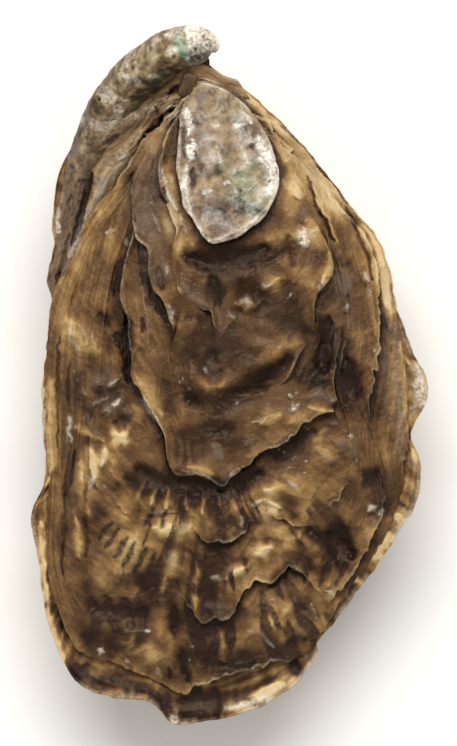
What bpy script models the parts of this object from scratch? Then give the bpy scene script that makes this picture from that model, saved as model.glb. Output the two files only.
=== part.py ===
"""Closed oyster in its shell: a cupped lower valve with its rolled beak, a flatter upper valve
built of overlapping growth plates, and the hinge ligament between them.

Frame: metres, +Z up, the shell lying on its cupped valve. +Y points to the hinge, +X to the right
seen from above. The origin is under the middle of the shell, on the surface it rests on.
Shape sizes below are in millimetres and become metres where a vertex is placed.
"""

import math

import bpy
import bmesh
import numpy as np
from mathutils import Vector

MM = 0.001

# Driving sizes, in millimetres.
CUP_DEPTH = 18.4           # from the parting plane to the bottom of the cup, before it is worn flat
PARTING_HEIGHT = 17.6      # parting plane between the valves, above the resting spot, at y = 0
PARTING_SLOPE = 0.03       # the parting plane rises towards the hinge
PARTING_GAP = 0.3          # air gap between the valves
DOME_HEIGHT = 4.6          # how far the upper valve swells above its margin
MARGIN_THICKNESS = 1.0     # thickness of both valves at the free margin
CUP_CENTRE = (-1.0, 6.0)   # over the deepest part of the cup
FAN_CENTRE = (-0.6, 34.0)  # a point inside every growth plate, to draw their outlines from
HINGE = (-3.8, 46.4)       # where all growth plates run together
UNDERSIDE_STEP = 0.2       # each older plate starts this much higher inside the valve
HINGE_SHARE = 0.35         # share of a plate's height that is left at the hinge
HINGE_FADE = 20.0          # how slowly the plates reach their full height away from the hinge
LIGAMENT_CENTRE = (-7.3, 46.4)
LIGAMENT_HALF_SIZE = (2.2, 0.9, 1.0)  # along, across and up
LIGAMENT_TURN = math.radians(40)      # of its long axis from +X
WELD_DISTANCE = 0.01

# Shape of the curves: the higher the flatness, the flatter the middle and the steeper the side.
DOME_FLATNESS = 2.2
BOWL_FLATNESS = 2.4
BOWL_FULLNESS = 0.85       # below 1, the bowl bulges more just under its margin
RING_CROWDING = 0.8        # below 1, the rings of a mesh lie closer together near its outline

# Fineness of the meshes.
PLATE_COLUMNS = 93         # of the youngest plate
COLUMNS_FEWER = 7          # for each older, smaller plate
PLATE_TOP_RINGS, PLATE_RINGS = 8, 12
CUP_COLUMNS, CUP_TOP_RINGS, CUP_RINGS = 96, 2, 12
LIGAMENT_COLUMNS, LIGAMENT_RINGS = 20, 10
BEAK_ROUNDNESS = 3
SPLINE_STEPS = 10
SHARP_ANGLE = math.radians(35)

# Free margin of the cupped valve, clockwise from the beak.
LOWER_MARGIN = [
    (-7.5, 54.8), (-4.2, 53.6), (-2.6, 48.0), (0.6, 46.6), (3.4, 43.6), (10.8, 36.8),
    (15.8, 30.6), (20.6, 24.4), (24.4, 17.8), (25.8, 12.0), (28.4, 5.4), (31.6, -2.0),
    (31.0, -5.4), (29.2, -9.6), (30.3, -14.6), (29.9, -20.4), (27.4, -25.2), (22.8, -31.8),
    (17.6, -38.4), (14.2, -44.2), (11.6, -48.6), (6.6, -52.4), (0.0, -54.8), (-6.4, -55.8),
    (-10.8, -54.2), (-14.4, -52.2), (-21.0, -51.4), (-25.0, -48.4), (-28.2, -41.0),
    (-30.2, -34.4), (-30.4, -27.6), (-31.6, -22.4), (-29.7, -16.6), (-29.9, -4.0),
    (-29.0, 7.0), (-28.8, 15.0), (-28.2, 23.0), (-26.8, 33.0), (-24.0, 41.0), (-18.4, 48.4),
    (-12.4, 53.2),
]

# The upper valve's growth plates, from the youngest, which forms its margin, to the oldest:
# (height above the dome, edge thickness, outline clockwise from the hinge).
GROWTH_PLATES = [
    (0.0, MARGIN_THICKNESS, [
        (-4.2, 46.6), (2.4, 44.0), (10.6, 37.0), (18.6, 27.4), (24.4, 18.8), (26.9, 9.2),
        (28.4, 0.0), (28.4, -9.8), (27.4, -19.6), (24.8, -26.6), (19.4, -34.2),
        (14.2, -41.3), (7.4, -46.4), (-2.2, -49.9), (-6.4, -51.0), (-14.2, -48.5),
        (-22.6, -45.9), (-27.0, -40.6), (-29.2, -33.8), (-29.4, -25.0), (-28.8, -16.0),
        (-29.4, -4.0), (-28.6, 8.6), (-26.7, 15.0), (-22.2, 24.3), (-16.6, 31.4),
        (-11.8, 37.6), (-8.2, 42.6),
    ]),
    (0.9, 1.1, [
        (-4.2, 45.6), (4.0, 41.0), (12.4, 33.0), (18.6, 23.0), (23.4, 12.8), (24.2, 4.0),
        (22.8, -5.0), (21.6, -14.0), (20.4, -22.0), (16.6, -28.0), (8.0, -33.0),
        (1.0, -35.2), (-4.4, -39.6), (-10.6, -36.2), (-18.0, -36.0), (-24.0, -36.4),
        (-26.4, -26.0), (-26.8, -14.0), (-27.0, -2.0), (-25.6, 10.0), (-21.4, 21.0),
        (-15.6, 30.0), (-10.6, 37.0), (-7.4, 42.4),
    ]),
    (2.4, 1.0, [
        (-4.2, 45.0), (2.6, 41.4), (8.2, 35.0), (13.6, 26.4), (17.2, 17.0), (18.6, 8.0),
        (17.2, 0.0), (16.6, -5.6), (11.8, -8.0), (10.0, -10.4), (3.6, -13.6),
        (-0.8, -17.4), (-6.2, -16.0), (-8.4, -15.8), (-10.4, -10.8), (-14.6, -3.4),
        (-15.8, 4.0), (-17.2, 13.0), (-15.6, 25.0), (-13.0, 34.0), (-9.8, 40.0),
        (-7.0, 43.4),
    ]),
    (3.7, 1.0, [
        (-4.2, 44.4), (3.0, 40.6), (8.4, 33.6), (13.4, 25.2), (16.4, 17.2), (13.6, 11.6),
        (12.6, 5.8), (6.4, 3.4), (-1.4, 5.4), (-5.0, 4.6), (-8.8, 7.0), (-12.0, 14.6),
        (-13.6, 21.0), (-15.0, 26.4), (-13.2, 33.6), (-9.4, 40.0), (-6.8, 43.0),
    ]),
    (5.0, 1.2, [
        (-4.0, 43.4), (1.0, 42.4), (4.6, 38.6), (7.2, 33.6), (7.6, 29.6), (5.6, 25.4),
        (1.0, 22.2), (-2.6, 21.0), (-5.8, 24.0), (-7.4, 29.8), (-8.0, 35.4), (-7.4, 41.2),
    ]),
]

# The rolled beak of the cupped valve, from its blunt tip round the hinge to the left side:
# (x, y, radius, height of its centre above the parting plane).
BEAK_PATH = [
    (-2.6, 52.3, 1.1, 1.4), (-3.4, 52.4, 2.3, 1.4), (-5.0, 52.5, 3.0, 1.3), (-7.4, 52.4, 3.4, 1.2),
    (-9.8, 51.6, 3.6, 1.0), (-12.4, 49.6, 3.8, 0.8), (-15.2, 47.2, 3.8, 0.5),
    (-17.6, 44.7, 3.6, 0.2), (-19.6, 42.2, 3.3, -0.1), (-21.4, 39.0, 3.0, -0.4),
    (-23.4, 34.4, 2.6, -0.7), (-24.8, 30.2, 2.2, -0.9), (-25.8, 26.4, 1.9, -1.0),
    (-26.8, 21.6, 1.4, -1.1),
]

SHELL_BROWN = (0.235, 0.150, 0.078, 1.0)
BEAK_GREY = (0.270, 0.205, 0.135, 1.0)
LIGAMENT_BROWN = (0.070, 0.040, 0.024, 1.0)


def parting_height(y):
    """Height of the plane where the valves meet."""
    return PARTING_HEIGHT + PARTING_SLOPE * y


def closed_spline(points):
    """A smooth closed curve through the points: uniform Catmull-Rom."""
    p = np.array(points, float)
    t = np.linspace(0, 1, SPLINE_STEPS, endpoint=False)[:, None, None]
    p0, p1, p2, p3 = np.roll(p, 1, 0), p, np.roll(p, -1, 0), np.roll(p, -2, 0)
    curve = 0.5 * (2 * p1 + (p2 - p0) * t + (2 * p0 - 5 * p1 + 4 * p2 - p3) * t**2
                   + (3 * p1 - p0 - 3 * p2 + p3) * t**3)
    return curve.transpose(1, 0, 2).reshape(-1, 2)


def radius_function(outline, centre):
    """Distance from the centre to the outline as a function of the direction, in radians."""
    offset = closed_spline(outline) - centre
    angle = np.arctan2(offset[:, 1], offset[:, 0])
    order = np.argsort(angle)
    angle, radius = angle[order], np.hypot(*offset.T)[order]

    def radius_at(direction):
        return np.interp(direction, angle, radius, period=2 * math.pi)

    return radius_at


lower_radius = radius_function(LOWER_MARGIN, CUP_CENTRE)
upper_radius = radius_function(GROWTH_PLATES[0][2], CUP_CENTRE)


def polar(x, y, centre):
    return math.atan2(y - centre[1], x - centre[0]), math.hypot(x - centre[0], y - centre[1])


def dome(x, y):
    """Swell of the upper valve: full over the middle, nothing at its margin."""
    direction, distance = polar(x, y, CUP_CENTRE)
    share = min(distance / float(upper_radius(direction)), 1.0)
    return DOME_HEIGHT * (1 - share**DOME_FLATNESS)


def cup_floor(x, y):
    """Outside of the cupped valve: a bowl that is worn flat where it rests."""
    direction, distance = polar(x, y, CUP_CENTRE)
    share = min(distance / float(lower_radius(direction)), 1.0)
    depth = CUP_DEPTH * (1 - share**BOWL_FLATNESS) ** BOWL_FULLNESS
    return max(parting_height(y) - MARGIN_THICKNESS - depth, 0.0)


def sphere_mesh(columns, rings):
    """A unit UV sphere with its poles on Z, ready to be shaped ring by ring."""
    sphere = bmesh.new()
    bmesh.ops.create_uvsphere(sphere, u_segments=columns, v_segments=rings, radius=1.0)
    return sphere


def shape_rings(sphere, rings, place):
    """Moves each vertex of a unit sphere to place(ring number from the upper pole, direction)."""
    for vertex in sphere.verts:
        ring = round(math.acos(max(-1.0, min(1.0, vertex.co.z))) / math.pi * rings)
        direction = math.atan2(vertex.co.y, vertex.co.x)
        vertex.co = Vector(place(ring, direction)) * MM


def make_object(name, mesh_source, material, collection):
    mesh = bpy.data.meshes.new(name)
    mesh_source.to_mesh(mesh)
    mesh_source.free()
    mesh.materials.append(material)
    mesh.shade_smooth()
    mesh.set_sharp_from_angle(angle=SHARP_ANGLE)
    made = bpy.data.objects.new(name, mesh)
    collection.objects.link(made)
    return made


def shell_material(name, colour, roughness):
    material = bpy.data.materials.new(name)
    material.use_nodes = True
    surface = material.node_tree.nodes["Principled BSDF"]
    surface.inputs["Base Color"].default_value = colour
    surface.inputs["Roughness"].default_value = roughness
    return material


def growth_plate(name, number, material, collection):
    """One plate of the upper valve: a lens with a blunt free edge. Its upper face follows the dome
    and runs out at the hinge; its lower face is flat."""
    height, edge, outline = GROWTH_PLATES[number]
    radius = radius_function(outline, FAN_CENTRE)
    under = PARTING_GAP / 2 + UNDERSIDE_STEP * number

    def place(ring, direction):
        share = min(ring / PLATE_TOP_RINGS, 1.0) ** RING_CROWDING
        if ring > PLATE_TOP_RINGS + 1:
            share = (PLATE_RINGS - ring) / (PLATE_RINGS - PLATE_TOP_RINGS - 1)
        reach = share * float(radius(direction))
        x = FAN_CENTRE[0] + reach * math.cos(direction)
        y = FAN_CENTRE[1] + reach * math.sin(direction)
        from_hinge = math.hypot(x - HINGE[0], y - HINGE[1])
        lift = height * min(HINGE_SHARE + from_hinge / HINGE_FADE, 1.0)
        top = parting_height(y) + under + edge + dome(x, y) + lift
        if ring <= PLATE_TOP_RINGS:
            return x, y, top
        if ring == PLATE_TOP_RINGS + 1:
            return x, y, top - edge
        return x, y, parting_height(y) + under

    plate = sphere_mesh(PLATE_COLUMNS - COLUMNS_FEWER * number, PLATE_RINGS)
    shape_rings(plate, PLATE_RINGS, place)
    return make_object(name, plate, material, collection)


def cupped_valve(name, material, collection):
    """The lower valve: a bowl filled up to the parting plane, with a blunt margin."""
    bowl_rings = CUP_RINGS - CUP_TOP_RINGS - 1

    def place(ring, direction):
        if ring <= CUP_TOP_RINGS:
            share = ring / CUP_TOP_RINGS
        else:
            share = ((CUP_RINGS - ring) / bowl_rings) ** RING_CROWDING
        reach = share * float(lower_radius(direction))
        x = CUP_CENTRE[0] + reach * math.cos(direction)
        y = CUP_CENTRE[1] + reach * math.sin(direction)
        if ring <= CUP_TOP_RINGS:
            return x, y, parting_height(y) - PARTING_GAP / 2
        return x, y, cup_floor(x, y)

    cup = sphere_mesh(CUP_COLUMNS, CUP_RINGS)
    shape_rings(cup, CUP_RINGS, place)
    return make_object(name, cup, material, collection)


def beak_roll(name, material, collection):
    """The umbo's rounded roll: a tapering tube along the beak path, as a welded mesh."""
    curve = bpy.data.curves.new(name, "CURVE")
    curve.dimensions = "3D"
    curve.bevel_depth = MM
    curve.bevel_resolution = BEAK_ROUNDNESS
    curve.use_fill_caps = True
    spline = curve.splines.new("POLY")
    spline.points.add(len(BEAK_PATH) - 1)
    for point, (x, y, radius, lift) in zip(spline.points, BEAK_PATH):
        point.co = (x * MM, y * MM, (parting_height(y) + lift) * MM, 1.0)
        point.radius = radius
    guide = bpy.data.objects.new(name + "_guide", curve)
    collection.objects.link(guide)
    bpy.context.view_layer.update()
    graph = bpy.context.evaluated_depsgraph_get()
    mesh = bpy.data.meshes.new_from_object(guide.evaluated_get(graph))
    roll = bmesh.new()
    roll.from_mesh(mesh)
    bmesh.ops.remove_doubles(roll, verts=roll.verts, dist=WELD_DISTANCE * MM)
    bpy.data.objects.remove(guide)
    return make_object(name, roll, material, collection)


def hinge_ligament(name, material, collection):
    """The dark elastic pad that fills the notch between the beak and the upper valve's hinge."""
    half_length, half_width, half_height = LIGAMENT_HALF_SIZE
    c, s = math.cos(LIGAMENT_TURN), math.sin(LIGAMENT_TURN)

    def place(ring, direction):
        polar_angle = math.pi * ring / LIGAMENT_RINGS
        u = half_length * math.sin(polar_angle) * math.cos(direction)
        v = half_width * math.sin(polar_angle) * math.sin(direction)
        x = LIGAMENT_CENTRE[0] + u * c - v * s
        y = LIGAMENT_CENTRE[1] + u * s + v * c
        base = parting_height(y) + PARTING_GAP / 2 + half_height
        return x, y, base + half_height * math.cos(polar_angle)

    pad = sphere_mesh(LIGAMENT_COLUMNS, LIGAMENT_RINGS)
    shape_rings(pad, LIGAMENT_RINGS, place)
    return make_object(name, pad, material, collection)


def join_on(target, pieces):
    """Unites the pieces with the target, and hides them as construction shapes."""
    for piece in pieces:
        modifier = target.modifiers.new("join_" + piece.name, "BOOLEAN")
        modifier.operation = "UNION"
        modifier.solver = "EXACT"
        modifier.object = piece
        piece.hide_render = True
        piece.display_type = "WIRE"


def clear_scene():
    for existing in list(bpy.data.objects):
        bpy.data.objects.remove(existing)


def new_collection(name):
    made = bpy.data.collections.new(name)
    bpy.context.scene.collection.children.link(made)
    return made


def main():
    clear_scene()
    oyster = new_collection("oyster_in_shell")
    construction = new_collection("construction")
    shell = shell_material("shell", SHELL_BROWN, 0.45)
    beak = shell_material("beak", BEAK_GREY, 0.55)
    ligament = shell_material("ligament", LIGAMENT_BROWN, 0.5)

    lower_valve = cupped_valve("lower_valve", shell, oyster)
    join_on(lower_valve, [beak_roll("beak_roll", beak, construction)])

    upper_valve = growth_plate("upper_valve", 0, shell, oyster)
    join_on(upper_valve, [
        growth_plate("growth_plate_%d" % number, number, shell, construction)
        for number in range(1, len(GROWTH_PLATES))
    ])
    hinge_ligament("ligament", ligament, oyster)


main()
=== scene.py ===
"""Looks of a closed cupped oyster: two valves of overlapping growth plates, a rolled beak and a
ligament, on a pale table under soft light.

All shapes are worked out in millimetres, with +Y towards the hinge and +Z up, and become metres
where a mesh is made. Heights are counted from the parting plane, where the two valves meet.
"""

import math

import bpy
import numpy as np
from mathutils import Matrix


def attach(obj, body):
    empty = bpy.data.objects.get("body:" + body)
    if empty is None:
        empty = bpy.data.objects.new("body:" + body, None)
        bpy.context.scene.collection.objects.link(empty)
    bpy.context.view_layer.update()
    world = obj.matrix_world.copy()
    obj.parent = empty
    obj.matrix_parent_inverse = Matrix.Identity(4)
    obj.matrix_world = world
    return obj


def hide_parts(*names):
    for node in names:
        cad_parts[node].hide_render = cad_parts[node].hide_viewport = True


MM = 0.001

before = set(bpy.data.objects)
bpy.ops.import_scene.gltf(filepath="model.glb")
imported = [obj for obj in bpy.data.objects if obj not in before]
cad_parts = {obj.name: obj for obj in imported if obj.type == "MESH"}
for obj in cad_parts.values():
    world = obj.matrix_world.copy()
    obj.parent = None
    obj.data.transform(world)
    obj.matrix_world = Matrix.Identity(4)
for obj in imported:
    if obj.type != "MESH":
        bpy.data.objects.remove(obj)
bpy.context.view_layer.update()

# ---------------------------------------------------------------------------------------------
# Places and sizes, in millimetres
# ---------------------------------------------------------------------------------------------

PARTING_HEIGHT = 17.6      # parting plane above the table, at y = 0
PARTING_SLOPE = 0.03       # it rises towards the hinge
DOME_HEIGHT = 4.6          # swell of the upper valve over its margin
CUP_DEPTH = 18.4           # depth of the cupped valve below the parting plane
CUP_CENTRE = (-1.0, 6.0)   # over the deepest part of the cup
FAN_CENTRE = (-0.6, 34.0)  # a point inside every growth plate, from which their rings are drawn
UMBO = (-3.6, 43.2)        # where the upper valve began to grow
RAY_CENTRE = (-4.5, -3.0)  # the purple rays of the lower half spread from here

MARGIN_OUTLINE = [
    (-4.2, 46.8), (2.4, 44.0), (10.6, 37.0), (18.6, 27.4), (24.4, 18.8), (26.9, 9.2), (28.4, 0.0),
    (28.6, -9.0), (27.6, -18.6), (25.0, -26.4), (19.6, -34.0), (14.9, -41.0), (12.6, -45.2),
    (7.2, -46.4), (1.2, -47.8), (-1.6, -49.2), (-5.4, -50.2), (-7.0, -51.4), (-11.4, -49.5),
    (-14.8, -47.6), (-21.3, -45.4), (-24.2, -44.4), (-26.0, -42.0), (-27.2, -38.1), (-28.4, -34.6),
    (-29.2, -28.0), (-29.0, -17.0), (-29.6, -4.0), (-28.8, 9.0), (-27.2, 14.8), (-24.6, 19.8),
    (-22.4, 25.2), (-17.8, 31.0), (-14.2, 36.6), (-10.6, 40.2), (-7.2, 43.9),
]

FOURTH_OUTLINE = [
    (-4.2, 46.0), (3.6, 41.8), (12.0, 33.8), (18.2, 26.4), (21.9, 21.9), (23.7, 16.0), (24.4, 10.8),
    (23.9, 5.0), (23.3, -0.3), (22.4, -6.5), (23.8, -12.5), (25.0, -18.5), (23.4, -25.0),
    (20.0, -31.0), (17.1, -35.7), (14.2, -35.0), (11.4, -31.6), (7.0, -32.8), (4.8, -33.4),
    (2.2, -34.8), (1.4, -36.6), (-0.2, -38.8), (-2.6, -39.0), (-4.5, -39.9), (-6.2, -37.3),
    (-8.6, -35.4), (-12.0, -34.9), (-15.0, -36.2), (-19.0, -35.9), (-22.4, -38.4), (-24.8, -36.4),
    (-26.6, -31.0), (-27.4, -24.0), (-27.0, -14.0), (-27.4, -2.0), (-26.4, 9.0), (-23.6, 17.5),
    (-20.6, 23.5), (-16.0, 29.6), (-12.6, 35.0), (-9.6, 39.0), (-6.8, 43.2),
]

BAND_OUTLINE = [
    (-4.1, 45.6), (3.0, 41.6), (10.2, 34.6), (14.6, 28.6), (16.0, 22.6), (17.8, 16.8), (19.0, 10.2),
    (18.9, 7.0), (18.2, 3.2), (17.3, -0.2), (17.4, -2.9), (18.1, -5.2), (19.0, -8.2), (19.9, -13.0),
    (18.6, -18.4), (14.6, -22.4), (11.0, -24.2), (7.0, -23.0), (3.8, -22.8), (2.4, -25.4),
    (0.0, -26.9), (-3.8, -26.8), (-5.4, -25.6), (-7.8, -23.8), (-10.0, -23.4), (-13.3, -23.8),
    (-15.8, -22.8), (-18.4, -20.6), (-21.6, -17.2), (-22.0, -12.0), (-21.8, -7.0), (-21.0, -3.0),
    (-20.6, 2.0), (-20.2, 8.0), (-19.2, 15.0), (-17.0, 22.0), (-14.6, 29.0), (-11.6, 35.4),
    (-9.0, 39.4), (-6.4, 43.0),
]

LONG_TONGUE_OUTLINE = [
    (-4.1, 45.2), (1.8, 42.4), (6.4, 38.0), (11.0, 31.6), (14.2, 25.6), (16.4, 17.9), (17.4, 11.8),
    (17.8, 6.0), (16.9, 1.0), (16.6, -1.8), (17.0, -3.8), (16.2, -4.4), (16.6, -5.8), (14.9, -6.1),
    (12.2, -7.7), (10.1, -10.2), (8.2, -11.5), (5.3, -12.5), (3.0, -14.6), (1.4, -15.8),
    (0.2, -16.6), (-0.8, -17.6), (-2.2, -17.0), (-3.8, -16.5), (-6.2, -16.0), (-8.2, -15.8),
    (-9.1, -15.0), (-9.8, -13.0), (-10.1, -10.6), (-11.0, -8.2), (-12.6, -5.0), (-14.2, -2.9),
    (-15.4, -0.2), (-15.7, 2.6), (-16.2, 8.6), (-17.1, 12.0), (-17.0, 15.0), (-16.0, 19.8),
    (-14.2, 26.0), (-12.4, 32.0), (-10.4, 36.6), (-7.6, 41.4),
]

SHORT_TONGUE_OUTLINE = [
    (-4.0, 44.9), (1.8, 42.0), (6.0, 37.4), (9.8, 31.8), (12.2, 26.8), (14.6, 22.6), (16.1, 19.4),
    (16.6, 16.6), (15.4, 14.4), (13.8, 12.4), (13.4, 10.2), (13.5, 7.8), (12.8, 5.4), (11.3, 3.4),
    (9.7, 0.0), (8.4, -1.6), (6.4, -3.1), (3.2, -4.2), (1.0, -5.0), (-0.6, -6.6), (-2.4, -7.4),
    (-4.6, -6.4), (-7.2, -6.0), (-8.2, -4.2), (-9.2, -1.0), (-9.5, 3.0), (-8.9, 6.8), (-9.5, 8.8),
    (-10.5, 11.6), (-11.9, 13.4), (-12.6, 16.0), (-13.0, 19.8), (-14.6, 21.8), (-15.3, 25.2),
    (-15.4, 30.0), (-13.2, 35.4), (-10.6, 39.4), (-7.4, 42.6),
]

NOTCHED_OUTLINE = [
    (-4.0, 44.6), (1.2, 42.2), (4.6, 39.2), (7.8, 35.2), (10.2, 30.6), (11.6, 26.4), (12.5, 22.0),
    (12.8, 18.6), (11.4, 15.0), (8.5, 13.1), (5.0, 11.4), (3.6, 10.2), (1.0, 8.6), (-0.6, 7.2),
    (-1.5, 6.3), (-2.4, 7.9), (-2.9, 9.9), (-4.2, 10.2), (-5.9, 11.4), (-8.0, 13.0), (-8.4, 16.0),
    (-9.0, 19.6), (-8.4, 22.8), (-9.4, 25.8), (-10.5, 28.8), (-11.1, 31.8), (-10.6, 35.8),
    (-9.2, 39.4), (-7.0, 42.4),
]

CROWN_OUTLINE = [
    (-4.4, 46.2), (-1.6, 45.6), (1.0, 44.0), (2.8, 42.2), (4.6, 39.8), (5.9, 37.4), (6.9, 35.0),
    (7.7, 31.8), (7.6, 29.4), (6.5, 26.8), (5.2, 24.8), (3.2, 23.2), (1.0, 21.7), (-1.1, 21.0),
    (-2.6, 20.9), (-3.9, 21.8), (-5.4, 24.2), (-6.9, 26.4), (-7.2, 28.6), (-7.7, 30.8), (-8.1, 33.4),
    (-7.9, 36.6), (-7.7, 39.0), (-7.4, 42.0), (-6.2, 44.2),
]

# Free margin and silhouette of the cupped valve.
LOWER_OUTLINE = [
    (-7.6, 54.6), (-4.2, 53.8), (-2.7, 50.6), (-3.0, 48.6), (-1.6, 47.2), (2.0, 46.0),
    (10.9, 37.5), (17.2, 29.6), (23.6, 21.5), (25.6, 16.0), (27.0, 9.6), (29.9, 2.6),
    (31.9, -2.2), (29.5, -8.1), (29.2, -10.5), (30.6, -14.6), (29.8, -20.4), (27.3, -25.0),
    (22.6, -32.1), (17.2, -39.3), (14.3, -42.9), (14.0, -45.0), (10.6, -49.6), (5.3, -53.1),
    (-0.6, -55.0), (-7.0, -56.0), (-9.4, -55.6), (-12.7, -52.5), (-19.0, -51.8), (-24.6, -49.0),
    (-28.9, -40.0), (-30.3, -31.0), (-31.5, -22.6), (-29.3, -16.0), (-29.9, -4.0), (-28.8, 5.6),
    (-28.4, 12.0), (-28.9, 15.2), (-27.8, 20.8), (-28.2, 24.0), (-26.8, 33.6), (-22.4, 43.4),
    (-17.4, 49.8), (-12.2, 53.3),
]

# ---------------------------------------------------------------------------------------------
# Curves, noise and growth rings
# ---------------------------------------------------------------------------------------------


def closed_spline(points, steps=12):
    """A smooth closed curve through the points: uniform Catmull-Rom, steps samples to a span."""
    p1 = np.array(points, float)
    t = np.linspace(0, 1, steps, endpoint=False)[:, None, None]
    p0, p2, p3 = np.roll(p1, 1, 0), np.roll(p1, -1, 0), np.roll(p1, -2, 0)
    curve = 0.5 * (2 * p1 + (p2 - p0) * t + (2 * p0 - 5 * p1 + 4 * p2 - p3) * t**2
                   + (3 * p1 - p0 - 3 * p2 + p3) * t**3)
    return curve.transpose(1, 0, 2).reshape(-1, 2)


def reach(outline, centre, direction):
    """Distance from the centre to the outline in each direction, in radians."""
    offset = closed_spline(outline) - centre
    angle = np.arctan2(offset[:, 1], offset[:, 0])
    order = np.argsort(angle)
    return np.interp(direction, angle[order], np.hypot(*offset.T)[order], period=2 * math.pi)


def polar(x, y, centre):
    """Direction and distance of points from a centre."""
    return np.arctan2(y - centre[1], x - centre[0]), np.hypot(x - centre[0], y - centre[1])


def ease(low, high, value):
    """0 below low, 1 above high, and a smooth cubic step between; high may be below low."""
    t = np.clip((value - low) / (high - low), 0, 1)
    return t * t * (3 - 2 * t)


LATTICE = 128              # cells across before the noise repeats


def lattice_noise(x, y, seed):
    """Smooth noise from -1 to 1: random heights on a unit lattice, blended by a quintic ease."""
    heights = np.random.default_rng(seed).uniform(-1, 1, (LATTICE, LATTICE))
    column, row = np.floor(x).astype(int), np.floor(y).astype(int)
    u, v = x - column, y - row
    u = u**3 * (u * (6 * u - 15) + 10)
    v = v**3 * (v * (6 * v - 15) + 10)

    def corner(right, up):
        """Height of one corner of each place's cell."""
        return heights[(column + right) % LATTICE, (row + up) % LATTICE]

    low = corner(0, 0) * (1 - u) + corner(1, 0) * u
    high = corner(0, 1) * (1 - u) + corner(1, 1) * u
    return low * (1 - v) + high * v


def rough(x, y, size, octaves, seed):
    """Fractal noise: lattice noise with cells of the given size in millimetres, then halved in
    size and height for each further octave, from about -1 to 1. The seed picks the pattern."""
    total, share = 0.0, 1.0
    for octave in range(octaves):
        turn = 0.6 + 1.1 * octave
        c, s = math.cos(turn), math.sin(turn)
        total = total + share * lattice_noise((x * c - y * s) / size, (x * s + y * c) / size,
                                              seed + octave)
        size, share = size / 2, share / 2
    return total / 1.5


def lamellae(across, along, spacing, seed, wander=0.6):
    """Growth steps: each rises slowly across its width and drops at its outer edge, which wanders
    from place to place; every step has its own height. From 0 to 1."""
    phase = across / spacing + wander * rough(along / 6, across / 12, 1.0, 3, seed)
    step = np.floor(phase)
    share = phase - step
    height = 0.35 + 0.65 * np.abs(lattice_noise(step * 1.7, along / 14, seed + 7))
    return height * (share * ease(1.0, 0.86, share))


def parting_height(y):
    """Height of the plane where the valves meet, which rises towards the hinge."""
    return PARTING_HEIGHT + PARTING_SLOPE * y


def dome(x, y):
    """Swell of the upper valve above its margin: full in the middle, nothing at the margin."""
    direction, distance = polar(x, y, CUP_CENTRE)
    share = np.clip(distance / reach(MARGIN_OUTLINE, CUP_CENTRE, direction), 0, 1)
    return DOME_HEIGHT * (1 - share**2.2)


# ---------------------------------------------------------------------------------------------
# Meshes
# ---------------------------------------------------------------------------------------------


def closed_grid(name, points, marks, uv):
    """Makes a closed mesh of a grid of points (rings, around, 3) in millimetres. Rings run from
    one pole to the other, and around is closed. marks are point attributes of the same grid, and
    uv a pair of grids with one more column than points, so that the pattern has a clean seam."""
    rings, around = points.shape[:2]
    inner = points[1:-1].reshape(-1, 3)
    vertices = np.vstack([points[0].mean(0), inner, points[-1].mean(0)])
    index = 1 + np.arange((rings - 2) * around).reshape(rings - 2, around)
    after = np.roll(index, -1, 1)
    quads = np.stack([index[:-1], index[1:], after[1:], after[:-1]], -1).reshape(-1, 4)
    first = np.stack([np.zeros(around, int), index[0], after[0]], -1)
    last_vertex = len(vertices) - 1
    last = np.stack([np.full(around, last_vertex), after[-1], index[-1]], -1)

    loops = np.concatenate([quads.ravel(), first.ravel(), last.ravel()])
    sizes = np.concatenate([np.full(len(quads), 4), np.full(2 * around, 3)])
    mesh = bpy.data.meshes.new(name)
    mesh.vertices.add(len(vertices))
    mesh.vertices.foreach_set("co", (vertices * MM).astype(np.float32).ravel())
    mesh.loops.add(len(loops))
    mesh.loops.foreach_set("vertex_index", loops.astype(np.int32))
    mesh.polygons.add(len(sizes))
    mesh.polygons.foreach_set("loop_start", np.concatenate([[0], np.cumsum(sizes)[:-1]]).astype(np.int32))
    mesh.polygons.foreach_set("use_smooth", np.ones(len(sizes), bool))
    mesh.update(calc_edges=True)

    ring, column = np.meshgrid(np.arange(1, rings - 1), np.arange(around), indexing="ij")
    ring_pairs = np.stack([ring[:-1], ring[1:], ring[1:], ring[:-1]], -1)
    column_pairs = np.stack([column[:-1], column[:-1], column[:-1] + 1, column[:-1] + 1], -1)
    columns = np.arange(around)
    first_rings = np.stack([0 * columns, 0 * columns + 1, 0 * columns + 1], -1)
    first_columns = np.stack([columns, columns, columns + 1], -1)
    last_rings = rings - 1 - np.stack([0 * columns, 0 * columns + 1, 0 * columns + 1], -1)
    last_columns = np.stack([columns, columns + 1, columns], -1)
    all_rings = np.concatenate([ring_pairs.ravel(), first_rings.ravel(), last_rings.ravel()])
    all_columns = np.concatenate([column_pairs.ravel(), first_columns.ravel(), last_columns.ravel()])
    layer = mesh.uv_layers.new(name="growth")
    pairs = np.stack([uv[0][all_rings, all_columns], uv[1][all_rings, all_columns]], -1)
    layer.data.foreach_set("uv", pairs.astype(np.float32).ravel())

    for mark, values in marks.items():
        values = np.broadcast_to(values, (rings, around))
        flat = np.concatenate([[values[0].mean()], values[1:-1].ravel(), [values[-1].mean()]])
        attribute = mesh.attributes.new(mark, "FLOAT", "POINT")
        low = -1 if mark == "tone" else 0
        attribute.data.foreach_set("value", np.clip(flat, low, 1).astype(np.float32))
    mesh.validate()
    made = bpy.data.objects.new(name, mesh)
    bpy.context.scene.collection.objects.link(made)
    return made


def with_seam(grid):
    """A grid with its first column repeated at the end."""
    return np.concatenate([grid, grid[:, :1]], 1)


# ---------------------------------------------------------------------------------------------
# Relief and stains that lie where they lie, whichever plate is on top there
# ---------------------------------------------------------------------------------------------
# Each is a soft stroke through its points, in millimetres: what it marks, its points, its half
# width, how strong the mark is, and how high it stands. tone is light above 0 and dark below it.

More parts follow.
